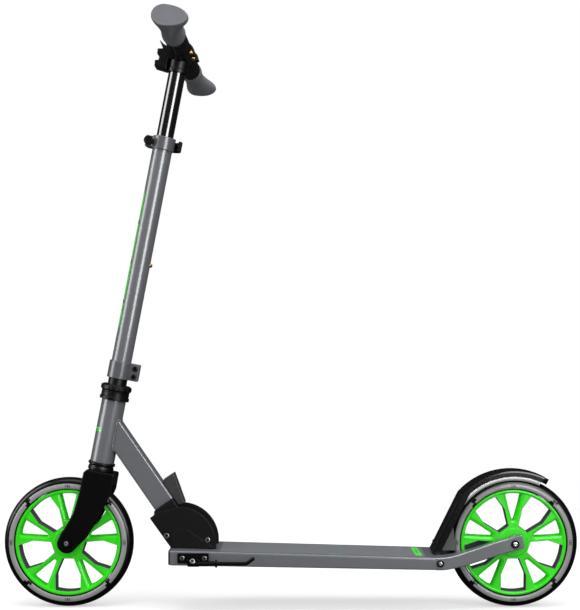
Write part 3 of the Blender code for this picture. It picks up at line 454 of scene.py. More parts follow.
def moulded(name, code, roughness=0.5, grain=0.00004, scale=1500, coat=0.0, specular=0.3):
    """Moulded plastic: a fine spark-eroded grain and slightly uneven gloss."""
    f = Finish(name, code, roughness, Coat_Weight=coat, Coat_Roughness=0.22, Coat_IOR=1.7,
               Specular_IOR_Level=specular)
    f.set(Base_Color=f.mix(f.shade(40, 0.7), tint(code, 0.90), tint(code, 1.10)))
    f.set(Roughness=(f.noise(60, 3) - 0.5) * 0.16 + roughness)
    return f.bump(f.cells(scale) + f.noise(scale * 2, 2) * 0.5, grain)


def metal(name, code, roughness, lines=(300, 300, 300), depth=0.000008):
    """Bare metal with fine tool marks along one direction."""
    f = Finish(name, code, roughness, 1.0)
    marks = f.noise(1.0, 3, 0.6, f.stretched(lines))
    f.set(Base_Color=f.mix(marks, tint(code, 0.88), tint(code, 1.10)))
    f.set(Roughness=(marks - 0.5) * 0.22 + roughness)
    return f.bump(marks, depth)


GREEN = "3cf826"
GREY = "686b70"
TAPE_GREY = "666a6f"
BAND_GREY = "9c9b9d"
RUBBER_BLACK = "040404"
GRIP_GREY = "787b80"
LINER_GREY = "c4c4c4"
grey_paint = painted("grey_satin_paint", GREY)
# Black satin paint: the fork, stand, washers and others, and painted shade in the clamp bolts' sockets.
black_paint_and_recess_shade = painted("black_satin_paint_and_recess_shade", "080808", 0.45, 0.08, 0.08).set(Specular_IOR_Level=0.05)
black_gloss = painted("black_gloss_tube", "030303", 0.16, 1.0, 0.02, 0.0000006, 1.75)
black_gloss.set(Coat_Roughness=0.14)
bracket_black = painted("bracket_black_paint", "131313", 0.55, 0.05, 0.06).set(Specular_IOR_Level=0.08)
black_plastic = moulded("black_plastic", "090909", 0.36, specular=0.22)
fender_black = moulded("fender_black", "040404", 0.40, 0.000001, 1200, 0.35, 0.05)
fender_black.set(Coat_Roughness=0.13)
lever_grey = moulded("lever_dark_grey", "353535", 0.50)
green_plastic = moulded("green_spoke_plastic", "34ee14", 0.42, 0.00001, 1600, 0.12, 0.16)
core_grey = moulded("wheel_core_grey", "55545c", 0.55)
steel = metal("turned_steel", "c9c8c6", 0.24, (900, 900, 900))
screw_grey = metal("screw_grey_zinc", "8a8a8c", 0.34, (900, 900, 900))
# Dark steel: the real finish of the clamp bolts' heads, and painted shade in the hex sockets of the grey
# screws and bolts.
dark_steel_and_recess_shade = metal("dark_steel_and_painted_recess_shade", "2c2c2c", 0.45)
clamp_metal = painted("clamp_grey_anodised", "5d5f64", 0.34, 0.5, 0.12)
brass = metal("button_brass", "f2c860", 0.22, (700, 700, 700))

def striped_stem_paint():
    """Grey paint with a green line down the front: its half width tapers at both ends, and it is
    broken sixteen times a metre."""
    f = painted("stem_grey_paint", GREY)
    height, front = f.along(UP_STEM, STEER_FOOT), f.along(ACROSS, STEER_FOOT)
    half_width = height.fade(0.305, 0.345) * (1 - height.fade(0.545, 0.570)) * 0.0092
    dashes = (height * 16.0).math("FRACT").fade(0.08, 0.11)
    stripe = (abs(f.along((0, 1, 0))) < half_width) * (front < 0.0) * dashes
    return f.set(Base_Color=f.mix(stripe, f.tone, linear(GREEN)))


def marked_head_paint():
    """Grey paint with a small plain green block on each side, crossed by one slanting gap."""
    f = painted("head_tube_grey_paint", GREY)
    height, front = f.along(UP_STEM, STEER_FOOT), f.along(ACROSS, STEER_FOOT)
    gap = abs(height - front * 0.4 - 0.1815) < 0.0007
    block = (abs(height - 0.1765) < 0.0030) * (abs(front + 0.0125) < 0.0036) * (1 - gap)
    return f.set(Base_Color=f.mix(block, f.tone, linear(GREEN)))


def gritty_deck_tape():
    """Grit on grey, with a slanted green block at the rear and two thin dashes in the middle."""
    f = Finish("deck_grip_grey", GREY, 0.62)
    x, y = f.along((1, 0, 0)), f.along((0, 1, 0))
    grit = f.cells(1500) + f.noise(3200, 2) * 0.6
    slant, from_dash = abs(x + y * 0.04 - 0.1955), abs(x - 0.0695)
    block = (slant < 0.0052) * (abs(y) < 0.034)
    gap = (slant < 0.0012) * (abs(y) < 0.016)
    dash = (abs(abs(y) - 0.0390) < 0.0010) * (from_dash < 0.0108) * (from_dash > 0.0012)
    green = (block - gap).math("MAXIMUM", dash * 0.75)
    tone = f.mix(grit, tint(TAPE_GREY, 0.80), tint(TAPE_GREY, 1.12))
    f.set(Base_Color=f.mix(green, tone, linear("3fdc2c")))
    f.set(Roughness=(f.noise(500, 2) - 0.5) * 0.2 + 0.62)
    return f.bump(grit, 0.00018, 0.7)


def tyre_finish(name, centre_x):
    """Black rubber with four grey bands a side; the joints between them are stepped at 87.2 mm,
    and four small dark pads sit in the middle of each band."""
    f = Finish(name, RUBBER_BLACK, 0.30, Coat_Weight=0.15, Coat_Roughness=0.16, Specular_IOR_Level=0.2)
    radius, angle = f.polar(centre_x)
    from_middle = (angle + math.pi + TAU / 8).math("WRAP", TAU / 4, 0.0) - TAU / 8
    stepped = from_middle + ((radius > 0.0872) - 0.5) * 0.045
    joint = abs(abs(stepped) - TAU / 8) < 0.048
    band = (radius > 0.0834) * (radius < 0.0912)
    pads = (abs(radius - 0.0876) < 0.0021) * (abs(abs(abs(from_middle) - 0.022) - 0.014) < 0.007)
    grey = band * (1 - joint) * (1 - pads * 0.85)
    cloud = f.noise(90, 3)
    band_tone = f.mix(cloud, tint(BAND_GREY, 0.92), tint(BAND_GREY, 1.10))
    rubber = f.mix(cloud, tint(RUBBER_BLACK, 0.8), tint(RUBBER_BLACK, 1.3))
    f.set(Base_Color=f.mix(grey, rubber, band_tone))
    f.set(Roughness=(f.noise(160, 3) - 0.5) * 0.12 + 0.30 - grey * 0.04)
    return f.bump(f.noise(900, 2), 0.00002)


def grained_grip_rubber():
    """Soft grey rubber: cloudy tone, a leathery grain of cells and a slightly uneven gloss."""
    f = Finish("grip_grey_rubber", GRIP_GREY, 0.52, Coat_Weight=0.35, Coat_Roughness=0.22,
               Specular_IOR_Level=0.3)
    f.set(Base_Color=f.mix(f.shade(45, 1.2, 3), tint(GRIP_GREY, 0.88), tint(GRIP_GREY, 1.08)))
    f.set(Roughness=(f.noise(80, 3) - 0.5) * 0.18 + 0.52)
    return f.bump(f.cells(1100) + f.noise(2600, 2) * 0.5, 0.00006, 0.8)


def two_tone_brake_plate():
    """Bright rolled steel on the curved band; the bow above it and the web in front are a flat dark grey."""
    f = Finish("brake_plate_two_tone", LINER_GREY, 0.45)
    radius, angle = f.polar(AXLE)
    dark = radius.fade(0.1052, 0.1056).math("MAXIMUM", abs(angle).fade(2.50, 2.72))
    marks = f.noise(1.0, 3, 0.6, f.stretched((300, 300, 300)))
    bright = f.mix(marks, tint(LINER_GREY, 0.94), tint(LINER_GREY, 1.06))
    f.set(Base_Color=f.mix(dark, bright, linear("404040")), Metallic=(1 - dark) * 0.35)
    return f.set(Roughness=(marks - 0.5) * 0.1 + 0.45 + dark * 0.2)


stem_paint = striped_stem_paint()
head_paint = marked_head_paint()
deck_tape = gritty_deck_tape()
grip_rubber = grained_grip_rubber()
brake_plate_metal = two_tone_brake_plate()


# ---- deck and rails ---------------------------------------------------------------------
def deck_top(x):
    return DECK_TOP - DECK_SLOPE * (x - DECK_FRONT)


def deck_underside(x):
    return DECK_UNDERSIDE - UNDERSIDE_SLOPE * (x - DECK_FRONT)


def make_deck():
    """The deck is a rounded four-sided section swept from front to rear; its height falls evenly,
    and both ends draw in by 0.4 mm."""
    tuck, half_width = 0.0004, 0.049
    stations = ((DECK_FRONT, tuck), (DECK_FRONT + tuck, 0), (0.0, 0), (DECK_REAR - tuck, 0),
                (DECK_REAR, tuck))
    rings = []
    for x, drawn_in in stations:
        half = half_width - drawn_in
        box = box_outline(-half, deck_underside(x) + drawn_in, half, deck_top(x) - drawn_in)
        section = rounded(box, np.array([0.0022, 0.0022, 0.0034, 0.0034]), 4)
        rings.append(np.c_[np.full(len(section), x), section])
    beam(rings).make("deck_beam", grey_paint, "deck")

    middle, half_length, half_width = 0.049, 0.157, 0.041
    slope = math.atan(DECK_SLOPE)
    sheet = place((middle, 0, deck_top(middle)), (math.cos(slope), 0, -math.sin(slope)), (DECK_SLOPE, 0, 1))
    outline = rounded(box_outline(-half_length, -half_width, half_length, half_width), 0.006, 8)
    plate(Shell(), outline, -0.0006, 0.0003, sheet, 0.0002).make("deck_grip_sheet", deck_tape, "deck_grip")


def make_rails():
    """Each rail is a section of four corners swept along X: its outer face runs from 46.5 mm at the
    deck to 27.8 mm at the axle on one smooth step, and its edges are rounded all along."""
    x = np.concatenate([np.linspace(0.2213, 0.345, 46), np.linspace(0.346, 0.3595, 14)])
    low_x = [0.2213, 0.235, 0.2506, 0.2707, 0.3129, 0.3601]
    low_z = [0.0633, 0.0629, 0.0654, 0.0697, 0.0815, 0.0940]
    high_x = [0.2213, 0.235, 0.2506, 0.274, 0.3054, 0.3548, 0.3601]
    high_z = [0.0825, 0.0826, 0.0848, 0.0915, 0.1010, 0.1148, 0.1163]
    soft = np.linspace(-0.006, 0.006, 9)[:, None]
    low = np.interp(x + soft, low_x, low_z).mean(0)
    high = np.interp(x + soft, high_x, high_z).mean(0)
    high = np.minimum(high, np.interp(x, [0.3548, 0.3601], [0.1148, 0.0940]))
    inward = np.interp(x[:, None] + np.linspace(-0.008, 0.008, 9), [0.229, 0.333], [0, 1]).mean(1)
    outer, inner = 0.0465 - 0.0187 * inward, 0.0178
    for side, label in ((-1, "left"), (1, "right")):
        rings = []
        for k in range(len(x)):
            h = max(high[k] - low[k], 0.0006)
            section = rounded(box_outline(inner, low[k], outer[k], low[k] + h), min(0.0016, 0.3 * h), 4)
            rings.append(np.c_[np.full(len(section), x[k]), side * section[:, 0], section[:, 1]])
        beam(rings).make("rail_arm_" + label, grey_paint, "rail_" + label)


# ---- wheels -----------------------------------------------------------------------------
def window(angle, corners, rim, radius):
    """A spoke window: its corners, drawn about +X, joined by an arc of the rim, then turned."""
    first, last = corners[-1], corners[0]
    a1, a2 = math.degrees(math.atan2(first[1], first[0])), math.degrees(math.atan2(last[1], last[0]))
    arc = ring(rim, a1 * 0.96, a2 * 0.96, 7, closed=False)
    loop = rounded(np.concatenate([corners, arc[1:-1]]), radius, 3)
    c, s = math.cos(math.radians(angle)), math.sin(math.radians(angle))
    return loop @ np.array([[c, s], [-s, c]])


def spoke_core(centre_x, label, node):
    """The core is a disc between its outer circle and ten windows; the narrow windows' edges are
    wide slopes that run down into the plastic, the wide ones show the dark inner core."""
    wide = np.array([(0.0735, -0.0190), (0.0505, -0.0192), (0.0252, -0.0086), (0.0252, 0.0086),
                     (0.0505, 0.0192), (0.0735, 0.0190)])
    narrow = np.array([(0.0742, -0.0122), (0.0560, -0.0078), (0.0345, -0.0018), (0.0345, 0.0018),
                       (0.0560, 0.0078), (0.0742, 0.0122)])
    holes, edges, slots = [ring(0.0113, count=40)], [0.0006], [0]
    for k in range(5):
        holes.append(window(54 + 72 * k, wide, 0.0757, 0.0010))
        holes.append(window(90 + 72 * k, narrow, 0.0757, 0.0014))
        edges += [0.0005, 0.0044]
        slots += [1, 0]
    where = wheel_side(centre_x)
    shell = plate(Shell(), ring(0.0816, count=144), -0.0112, 0.0112, where, 0.0010, holes, slots, edges, 2)
    for face in (-1, 1):
        hub = [(0.0113, 0.0100), (0.0113, 0.0129), (0.0212, 0.0129), (0.0232, 0.0105)]
        lip = [(0.0766, 0.0105), (0.0773, 0.0126), (0.0790, 0.0130), (0.0812, 0.0126), (0.0818, 0.0105)]
        for profile, count in ((hub, 96), (lip, 144)):
            spin(shell, rounded([(r, face * h) for r, h in profile], 0.0005, 3), where, count)
    shell.make(label + "_spoked_core", [green_plastic, core_grey], node, sharp=28)


def tyre(centre_x, label, node):
    """The tyre's section, half width against radius, is spun about the axle. Between 83.4 and
    91.2 mm each side stands out as a band, and four 0.7 mm grooves cross it by smooth steps."""
    half = np.array([(0.0823, 0.0122), (0.0826, 0.0128), (0.0831, 0.0133), (0.0836, 0.0141), (0.0845, 0.0147),
                     (0.0862, 0.0150), (0.0880, 0.0149), (0.0895, 0.0145), (0.0906, 0.0140), (0.0912, 0.0134),
                     (0.0917, 0.0133), (0.0930, 0.0130), (0.0948, 0.0122), (0.0964, 0.0110), (0.0978, 0.0094),
                     (0.0988, 0.0077), (0.0995, 0.0057), (0.0999, 0.0030), (0.1000, 0.0)])
    seat = [(0.0823, -0.0100), (0.0823, 0.0), (0.0823, 0.0100)]
    r, w = np.concatenate([half, half[-2::-1] * (1, -1), seat]).T
    a = np.linspace(0, TAU, 240, endpoint=False)[:, None]
    from_joint = np.abs(np.mod(a, TAU / 4) - TAU / 8)
    on_band = blendstep(r, 0.0832, 0.0838) * (1 - blendstep(r, 0.0908, 0.0913))
    groove = (1 - blendstep(from_joint, 0.030, 0.055)) * on_band
    width = w - np.sign(w) * 0.0007 * groove
    points = np.stack([r * np.cos(a), r * np.sin(a), width], -1)
    shell = Shell().grid(wheel_side(centre_x)(points), (True, True))
    shell.make(label + "_banded_tyre", tyre_finish(label + "_tyre_rubber", centre_x), node, sharp=40)


def ringed_head(shell, where, radius, base, top):
    """A bright socket head inside a black rounded washer."""
    sign = math.copysign(1.0, top - base)
    bore = 0.58 * radius
    spin(shell, rounded(box_outline(bore, base, radius, top - sign * 0.0008), 0.0005, 3), where, 64, 1)
    button_head(shell, where, bore - 0.0001, base, top, 0.0005, 0.0007, 6, 0)


def bearing(centre_x, side, node):
    """A ball bearing: outer race, sunken shield and inner race as one spun section."""
    loop = [(0.0043, 0.0062), (0.0043, 0.0129), (0.0062, 0.0129), (0.0064, 0.0124), (0.0092, 0.0124),
            (0.0094, 0.0129), (0.0109, 0.0129), (0.0109, 0.0062)]
    where = place((centre_x, 0, AXLE_HEIGHT), (1, 0, 0), (0, side, 0))
    spin(Shell(), rounded(loop, 0.00015, 2), where, 48).make(node + "_races", steel, node)


def axle(centre_x, label, outer, inner):
    """The shouldered axle, its socket head on the left and the nut on the right."""
    where = place((centre_x, 0, AXLE_HEIGHT), (1, 0, 0), (0, 1, 0))
    shell = Shell()
    pin, shoulder, bearing_face = 0.0040, 0.0064, 0.0134
    far = [(0, outer + 0.0040), (0.0034, outer + 0.0040), (pin, outer + 0.0034)]
    spacer = np.array([(pin, inner - 0.0003), (shoulder, inner - 0.0003), (shoulder, bearing_face),
                       (pin, bearing_face)])
    near = [(pin, -outer - 0.0002), (0, -outer - 0.0002)]
    spin(shell, np.concatenate([far, spacer, spacer[::-1] * (1, -1), near]), where, 48)
    ringed_head(shell, where, 0.0064, -outer - 0.0002, -outer - 0.0034)
    shell.make(label + "_axle_pin", [steel, black_paint_and_recess_shade], label + "_axle")
    six = np.linspace(0, TAU, 7)[:-1] + TAU / 12
    nut = rounded(np.stack([np.cos(six), np.sin(six)], 1) * 0.0075, 0.0004, 2)
    plate(Shell(), nut, outer + 0.0003, outer + 0.0036, where, 0.0005, [ring(0.0042, count=32)]).make(
        label + "_hex_nut", steel, label + "_axle_nut")


# ---- brake ------------------------------------------------------------------------------
def make_fender():
    """The brake's skin is a path of X and Z, up the straight leg and round the wheel, with an
    open channel section laid square to it; rounded treads rise across it at even steps."""
    a = np.radians(np.linspace(138, 61.3, 150))
    arc = np.c_[AXLE + FENDER_RADIUS * np.cos(a), AXLE_HEIGHT + FENDER_RADIUS * np.sin(a)]
    leg = np.linspace([0.2172, 0.0864], arc[0], 60)[:-1]
    path = np.concatenate([leg, arc])
    flow = unit(np.gradient(path, axis=0))
    kernel = np.ones(9) / 9
    pad = np.pad(flow, ((4, 4), (0, 0)), "edge")
    flow = unit(np.stack([np.convolve(pad[:, k], kernel, "valid") for k in (0, 1)], 1))
    out = np.stack([-flow[:, 1], flow[:, 0]], 1)
    run = np.concatenate([[0], np.cumsum(np.linalg.norm(np.diff(path, axis=0), axis=1))])
    bend = run[len(leg) + 1]
    depth = np.interp(run, [0, bend, bend + 0.012, run[-1]], [0.0125, 0.0125, 0.0092, 0.0092])[:, None]
    half_u = np.array([0, 0.2, 0.40, 0.62, 0.84, 0.93, 0.98, 1, 1, 1, 1])
    half_down = np.array([0, 0, 0, 0, 0, 0.02, 0.09, 0.25, 0.34, 0.6, 1])
    u = np.concatenate([-half_u[:0:-1], half_u])
    down = np.concatenate([half_down[:0:-1], half_down])

    tread_height, tread_pitch = 0.0014, 0.0172
    tread = 0.5 + 0.5 * np.cos(TAU * (run - bend - 0.006) / tread_pitch)
    end = run[-1]
    treaded = blendstep(run, bend - 0.004, bend + 0.002) * (1 - blendstep(run, end - 0.028, end - 0.024))
    lift = (tread_height * blendstep(tread, 0.45, 0.70) * treaded)[:, None]
    split = 1 - 0.75 * blendstep(0.13 - np.abs(np.abs(u) - 0.42), 0.0, 0.07)
    island = blendstep(0.985 - np.abs(u), 0.0, 0.05) * split
    outer_drop = np.where(down < 0.01, tread_height - lift * island, down * depth)
    inner_drop = np.minimum(np.maximum(down * depth, 0.0032), depth)

    to_end = np.clip((run - end + 0.010) / 0.0105, 0, 1)
    half = 0.0218 * (0.75 + 0.25 * np.sqrt(1 - to_end ** 2))[:, None]

    def skin(across, drop):
        spine = path[:, None] - drop[..., None] * out[:, None]
        return np.stack([spine[..., 0], across * half, spine[..., 1]], -1)

    top, low = skin(u, outer_drop), skin(u * (1 - 0.12 * (np.abs(u) > 0.95)), inner_drop)
    shell = channel(Shell(), top, low)
    pivot = (FENDER_PIVOT[0], FENDER_PIVOT[2])
    lug = [[(0.2216, 0.100)], ring(0.0066, 180, 360, 12, pivot, False), [(0.2346, 0.0900), (0.2346, 0.104)]]
    plate(shell, rounded(np.concatenate(lug), 0.0006, 2), -0.0149, 0.0149, WORLD_SIDE, 0.0006,
          [ring(0.0038, count=32, centre=pivot)])
    shell.make("treaded_fender", fender_black, "brake_fender", sharp=35)


def channel(shell, face, back):
    """A skin with a face and a back that meet along both sides, closed by a flat strip at each end."""
    shell.grid(np.concatenate([face, back[:, ::-1]], 1), (False, True))
    for row in (0, -1):
        shell.grid(np.stack([face[row], back[row]]), flat=True)
    return shell


def make_brake_plate():
    """On each side a band round the wheel bulges outward, half width = w + b sqrt(1 - s^2), beside
    a flat web that runs down to the deck; a thin bow joins the two sides over the tyre."""
    def about_axle(radius, start, end, count):
        return ring(radius, start, end, count, (AXLE, AXLE_HEIGHT), False)

    web = [about_axle(0.1075, 128, 137, 8),
           [(0.2620, 0.1655), (0.2440, 0.1270), (0.2368, 0.1110), (0.2334, 0.0888), (0.2545, 0.0888),
            (0.2507, 0.1271)],
           about_axle(0.0985, 156, 128, 24)]
    web = rounded(np.concatenate(web), 0.0006, 2)
    share = np.linspace(-1, 1, 13)
    angle = np.radians(np.linspace(156.5, 66.5, 110))[:, None]
    r = 0.1009 + 0.0043 * share
    x, z = AXLE + r * np.cos(angle), AXLE_HEIGHT + r * np.sin(angle)
    bulge = 0.0178 + 0.0022 * np.sqrt(1 - (share * 0.98) ** 2)
    shell = Shell()
    for side in (-1, 1):
        plate(shell, web, side * 0.0176 - 0.0007, side * 0.0176 + 0.0007, WORLD_SIDE, 0.0003)
        face, back = (np.stack([x, side * (y + 0 * x), z], -1) for y in (bulge, 0.0172))
        channel(shell, face, back)
    bow = np.concatenate([about_axle(0.1084, 67, 135, 60), about_axle(0.1050, 135, 67, 60)])
    plate(shell, bow, -0.0172, 0.0172, WORLD_SIDE, 0.0002)
    shell.make("brake_liner", brake_plate_metal, "brake_plate")


# ---- folding bracket and neck -----------------------------------------------------------
def make_bracket():
    """Cheek plates: a flat plate whose outer edge rolls over, with a raised foot on its outer face."""
    def on_deck(x, above=0.0):
        return (x, deck_top(x) + 0.0003 + above)

    screw_at, pivot_at = (-0.1273, 0.1067), (FOLD_PIVOT[0], FOLD_PIVOT[2])
    outline = np.concatenate([[on_deck(-0.1842), on_deck(-0.1142)],
                              ring(0.0590, 2, 86, 40, (-0.1729, 0.0986), False),
                              [(-0.2068, 0.1471), (-0.2165, 0.1396)]])
    foot = np.concatenate([[on_deck(-0.1172, 0.0004), on_deck(-0.1822, 0.0004)],
                           ring(0.0205, 172, 62, 24, (-0.1648, 0.1030), False),
                           [(-0.1508, 0.1173), (-0.1190, 0.0955)]])
    holes = [ring(0.0033, count=32, centre=pivot_at), ring(0.0028, count=32, centre=screw_at)]
    for side, label in ((-1, "left"), (1, "right")):
        where = place((0, 0, 0), (1, 0, 0), (0, side, 0))
        mirror = np.array([1, -side])
        shell = Shell()
        drilled = [hole * mirror for hole in holes]
        plate(shell, rounded(outline, 0.0016) * mirror, 0.0235, 0.0265, where, 0.0010, drilled)
        plate(shell, rounded(foot, 0.0015) * mirror, 0.0262, 0.0274, where, 0.0008)
        shell.make("cheek_plate_" + label, bracket_black, "fold_plate_" + label)
        screw = place((screw_at[0], 0, screw_at[1]), (1, 0, 0), (0, side, 0))
        shell = button_head(Shell(), screw, 0.0040, 0.0267, 0.0290, 0.0008, 0.0013, 6, 1)
        shank(shell, screw, 0.0025, 0.0267, 0.0195)
        # Dark steel in the socket: painted shade in the recess.
        shell.make("cheek_screw_" + label, [screw_grey, dark_steel_and_recess_shade], "bracket_screw_" + label)
    shell = Shell()
    for side in (-1, 1):
        pin = place(FOLD_PIVOT, (1, 0, 0), (0, side, 0))
        button_head(shell, pin, 0.0044, 0.0267, 0.0290, 0.0008, 0.0013, 6, 1)
    shank(shell, pin, 0.0030, 0.0268, -0.0268)
    # Dark steel in the sockets: painted shade in the recess.
    shell.make("fold_bolt", [screw_grey, dark_steel_and_recess_shade], "fold_pivot_pin")


def make_neck():
    """The neck tube's section is carried up to the head tube; each line of it ends where the head
    tube's cylinder begins: t = (sqrt(R^2 - y^2) - x0) / k. A rippled weld follows that seam."""
    centre = 0.0217
    section = rounded(box_outline(-0.0168, -0.0140, 0.0168, 0.0140), 0.0035, 6)
    across, y = section[:, 0] + centre, section[:, 1]
    pivot_across = np.dot(np.subtract(FOLD_PIVOT, STEER_FOOT), ACROSS)
    x0 = pivot_across + across * np.dot(NECK_ACROSS, ACROSS)
    k = np.dot(NECK_UP, ACROSS)

    def meet(radius):
        return (np.sqrt(radius ** 2 - y ** 2) - x0) / k

    start, end = 0.0420, meet(0.0180)
    share = np.array([0, 0.002, 0.25, 0.5, 0.75, 1.0])[:, None]
    t = start + share * (end - start)
    rows = np.stack([NECK_SIDE(np.c_[across, row, -y]) for row in t])
    shell = Shell().grid(rows, (False, True)).lid([rows[0]])
    shell.grid(np.stack([rows[-1], np.repeat(rows[-1].mean(0, keepdims=True), len(y), 0)]), (False, True))
    seam_across = across + np.sign(across - centre) * 0.0002
    weld(shell, NECK_SIDE(np.c_[seam_across, meet(0.0192) - 0.0002, -y * 1.02]))
    shell.make("neck_beam", grey_paint, "neck_tube", sharp=40)

    top, low, high = 0.0417, 0.0049, 0.0385
    foot = np.concatenate([[(high, top), (low, top), (-0.0060, 0.0280), (-0.0063, 0.0)],
                           ring(0.0063, 200, 300, 5), [(0.0200, 0.0025), (0.0370, 0.0110), (high, 0.0135)]])
    plate(Shell(), rounded(foot, 0.0012), -0.0232, 0.0232, NECK_SIDE, 0.0010,
          [ring(0.0033, count=32)]).make("neck_foot_block", bracket_black, "neck_foot")


def weld(shell, seam):
    """A closed bead round a seam: p + r (cos a N + sin a B), with r = 1.4 mm (1 + 0.1 cos(2 pi k / 5))
    at its k-th point, N and B standing square to the seam and out from the stem's axis."""
    count = 240
    station = np.linspace(0, len(seam), count + 1)[:-1]
    looped = np.append(seam, seam[:1], 0)
    bead = np.stack([np.interp(station, np.arange(len(looped)), column) for column in looped.T], 1)
    radius = 0.0014 * (1 + 0.10 * np.cos(np.arange(count) * TAU / 5))[:, None, None]
    flow = unit(np.roll(bead, -1, 0) - np.roll(bead, 1, 0))
    on_axis = np.asarray(STEER_FOOT) + np.outer((bead - STEER_FOOT) @ np.asarray(UP_STEM), UP_STEM)
    n = unit(np.cross(flow, unit(bead - on_axis)))
    b = np.cross(flow, n)
    a = np.linspace(0, TAU, 12, endpoint=False)[None, :, None]
    shell.grid(bead[:, None] + radius * (np.cos(a) * n[:, None] + np.sin(a) * b[:, None]), (True, True))


def make_fold_lever():
    """The pull lever's outline lies in the neck's side plane; four ribs cross its outer face."""
    face = 0.0388
    lever = np.array([(face, 0.0275), (0.0488, 0.0245), (0.0597, 0.0664), (0.0614, 0.0727), (0.0430, 0.0733),
                      (face, 0.0690)])
    shell = plate(Shell(), rounded(lever, 0.0010), -0.0110, 0.0110, NECK_SIDE, 0.0012)
    for share in (0.55, 0.65, 0.75, 0.85):
        e, t = lever[1] + share * (lever[2] - lever[1])
        rib = NECK_SIDE([(e - 0.0006, t, z) for z in np.linspace(-0.0085, 0.0085, 9)])
        tube(shell, rib, 0.0011, NECK_UP, 12)
    shell.make("fold_pull_lever", lever_grey, "release_lever")


def make_head_tube():
    shell = pipe(Shell(), 0.0187, 0.0160, 0.1257, 0.2243, STEM, 0.0008)
    shell.make("head_tube_barrel", head_paint, "head_tube")
    cups = {"head_cup_lower": [(0.0131, 0.1133), (0.0198, 0.1133), (0.0198, 0.1170), (0.0185, 0.1205),
                               (0.0208, 0.1225), (0.0208, 0.1254), (0.0131, 0.1254)],
            "head_cup_upper": [(0.0131, 0.2246), (0.0228, 0.2246), (0.0228, 0.2290), (0.0215, 0.2300),
                               (0.0215, 0.2357), (0.0131, 0.2357)]}
    for node, profile in cups.items():
        spin(Shell(), rounded(profile, 0.0006, 3), STEM, 96).make(node + "_ring", black_plastic, node)


# ---- fork and headset -------------------------------------------------------------------
def make_fork():
    """Two blades and a crown share one outline in the steering plane; the steerer is spun."""
    front = [(-0.0176, 0.1130), (-0.0219, 0.1080), (-0.0223, 0.0980), (-0.0225, 0.0740), (-0.0255, 0.0435),
             (-0.0310, 0.0266), (-0.0385, 0.0076)]
    tip = ring(0.0152, 172, 332, 30, (-0.0263, -0.0051), False)
    rear = [(0.0023, 0.0105), (0.0120, 0.0350), (0.0208, 0.0636), (0.0265, 0.0860), (0.0262, 0.1130)]
    outline = rounded(np.concatenate([front, tip, rear]), 0.0040, 6)
    hole = ring(0.0043, count=32, centre=(-0.0263, -0.0051))
    shell = Shell()
    for side in (-1, 1):
        where = place(STEER_FOOT, ACROSS, (0, side, 0))
        mirror = np.array([1, -side])
        plate(shell, outline * mirror, 0.0183, 0.0240, where, 0.0020, [hole * mirror], hole_edges=[0.0004])
        dish = place(STEM((-0.0263, 0, -0.0051)), ACROSS, (0, side, 0))
        lip = rounded(box_outline(0.0086, 0.0238, 0.0098, 0.0243), 0.0002, 2)
        spin(shell, lip, dish, 64)
    crown = [(-0.0174, 0.1128), (-0.0217, 0.1080), (-0.0221, 0.0980), (-0.0221, 0.0935), (0.0261, 0.0935),
             (0.0260, 0.1128)]
    plate(shell, rounded(crown, 0.0030, 5), -0.0238, 0.0238, STEM_SIDE, 0.0030)
    spin(shell, rounded(box_outline(0.0102, 0.106, 0.0127, 0.2838), 0.0004, 2), STEM, 64)
    shell.make("fork_body", black_paint_and_recess_shade, "fork")


def make_lock_nut():
    """The nut's profile is spun, and its rim is cut by ten smooth notches: r - 1.2 mm step(cos 10 a)."""
    profile = rounded([(0.0131, 0.2360), (0.0215, 0.2360), (0.0215, 0.2385), (0.0238, 0.2405),
                       (0.0238, 0.2460), (0.0205, 0.2482), (0.0146, 0.2484), (0.0146, 0.2578),
                       (0.0131, 0.2578)], 0.0006, 3)
    r, h = profile.T
    a = np.linspace(0, TAU, 192, endpoint=False)[:, None]
    notch = blendstep(np.cos(a * 10), 0.55, 0.8) * blendstep(r, 0.0200, 0.0214) * 0.0012
    points = STEM(np.stack([(r - notch) * np.cos(a), (r - notch) * np.sin(a), h + 0 * a], -1))
    Shell().grid(points, (True, True)).make("headset_lock_nut", black_plastic, "headset_nut", sharp=40)


def band(shell, outer, inner, low, high, gap, facing, edge=0.0008):
    """An open ring: the outer arc runs from one side of the gap to the other, the inner one back."""
    half = math.degrees(gap / outer)
    loop = np.concatenate([ring(outer, facing + half, facing + 360 - half, 97, closed=False),
                           ring(inner, facing + 360 - half, facing + half, 97, closed=False)])
    return plate(shell, rounded(loop, 0.0004), low, high, STEM, edge)


def ears(shell, inner, outer, back, depth, low, high, edge, corner):
    """The two lugs of an open band, either side of its gap."""
    for side in (-1, 1):
        lug = [(inner, side * 0.0010), (outer, side * 0.0010), (outer, side * depth), (back, side * depth)]
        plate(shell, rounded(lug, corner, 4), low, high, STEM, edge)
    return shell


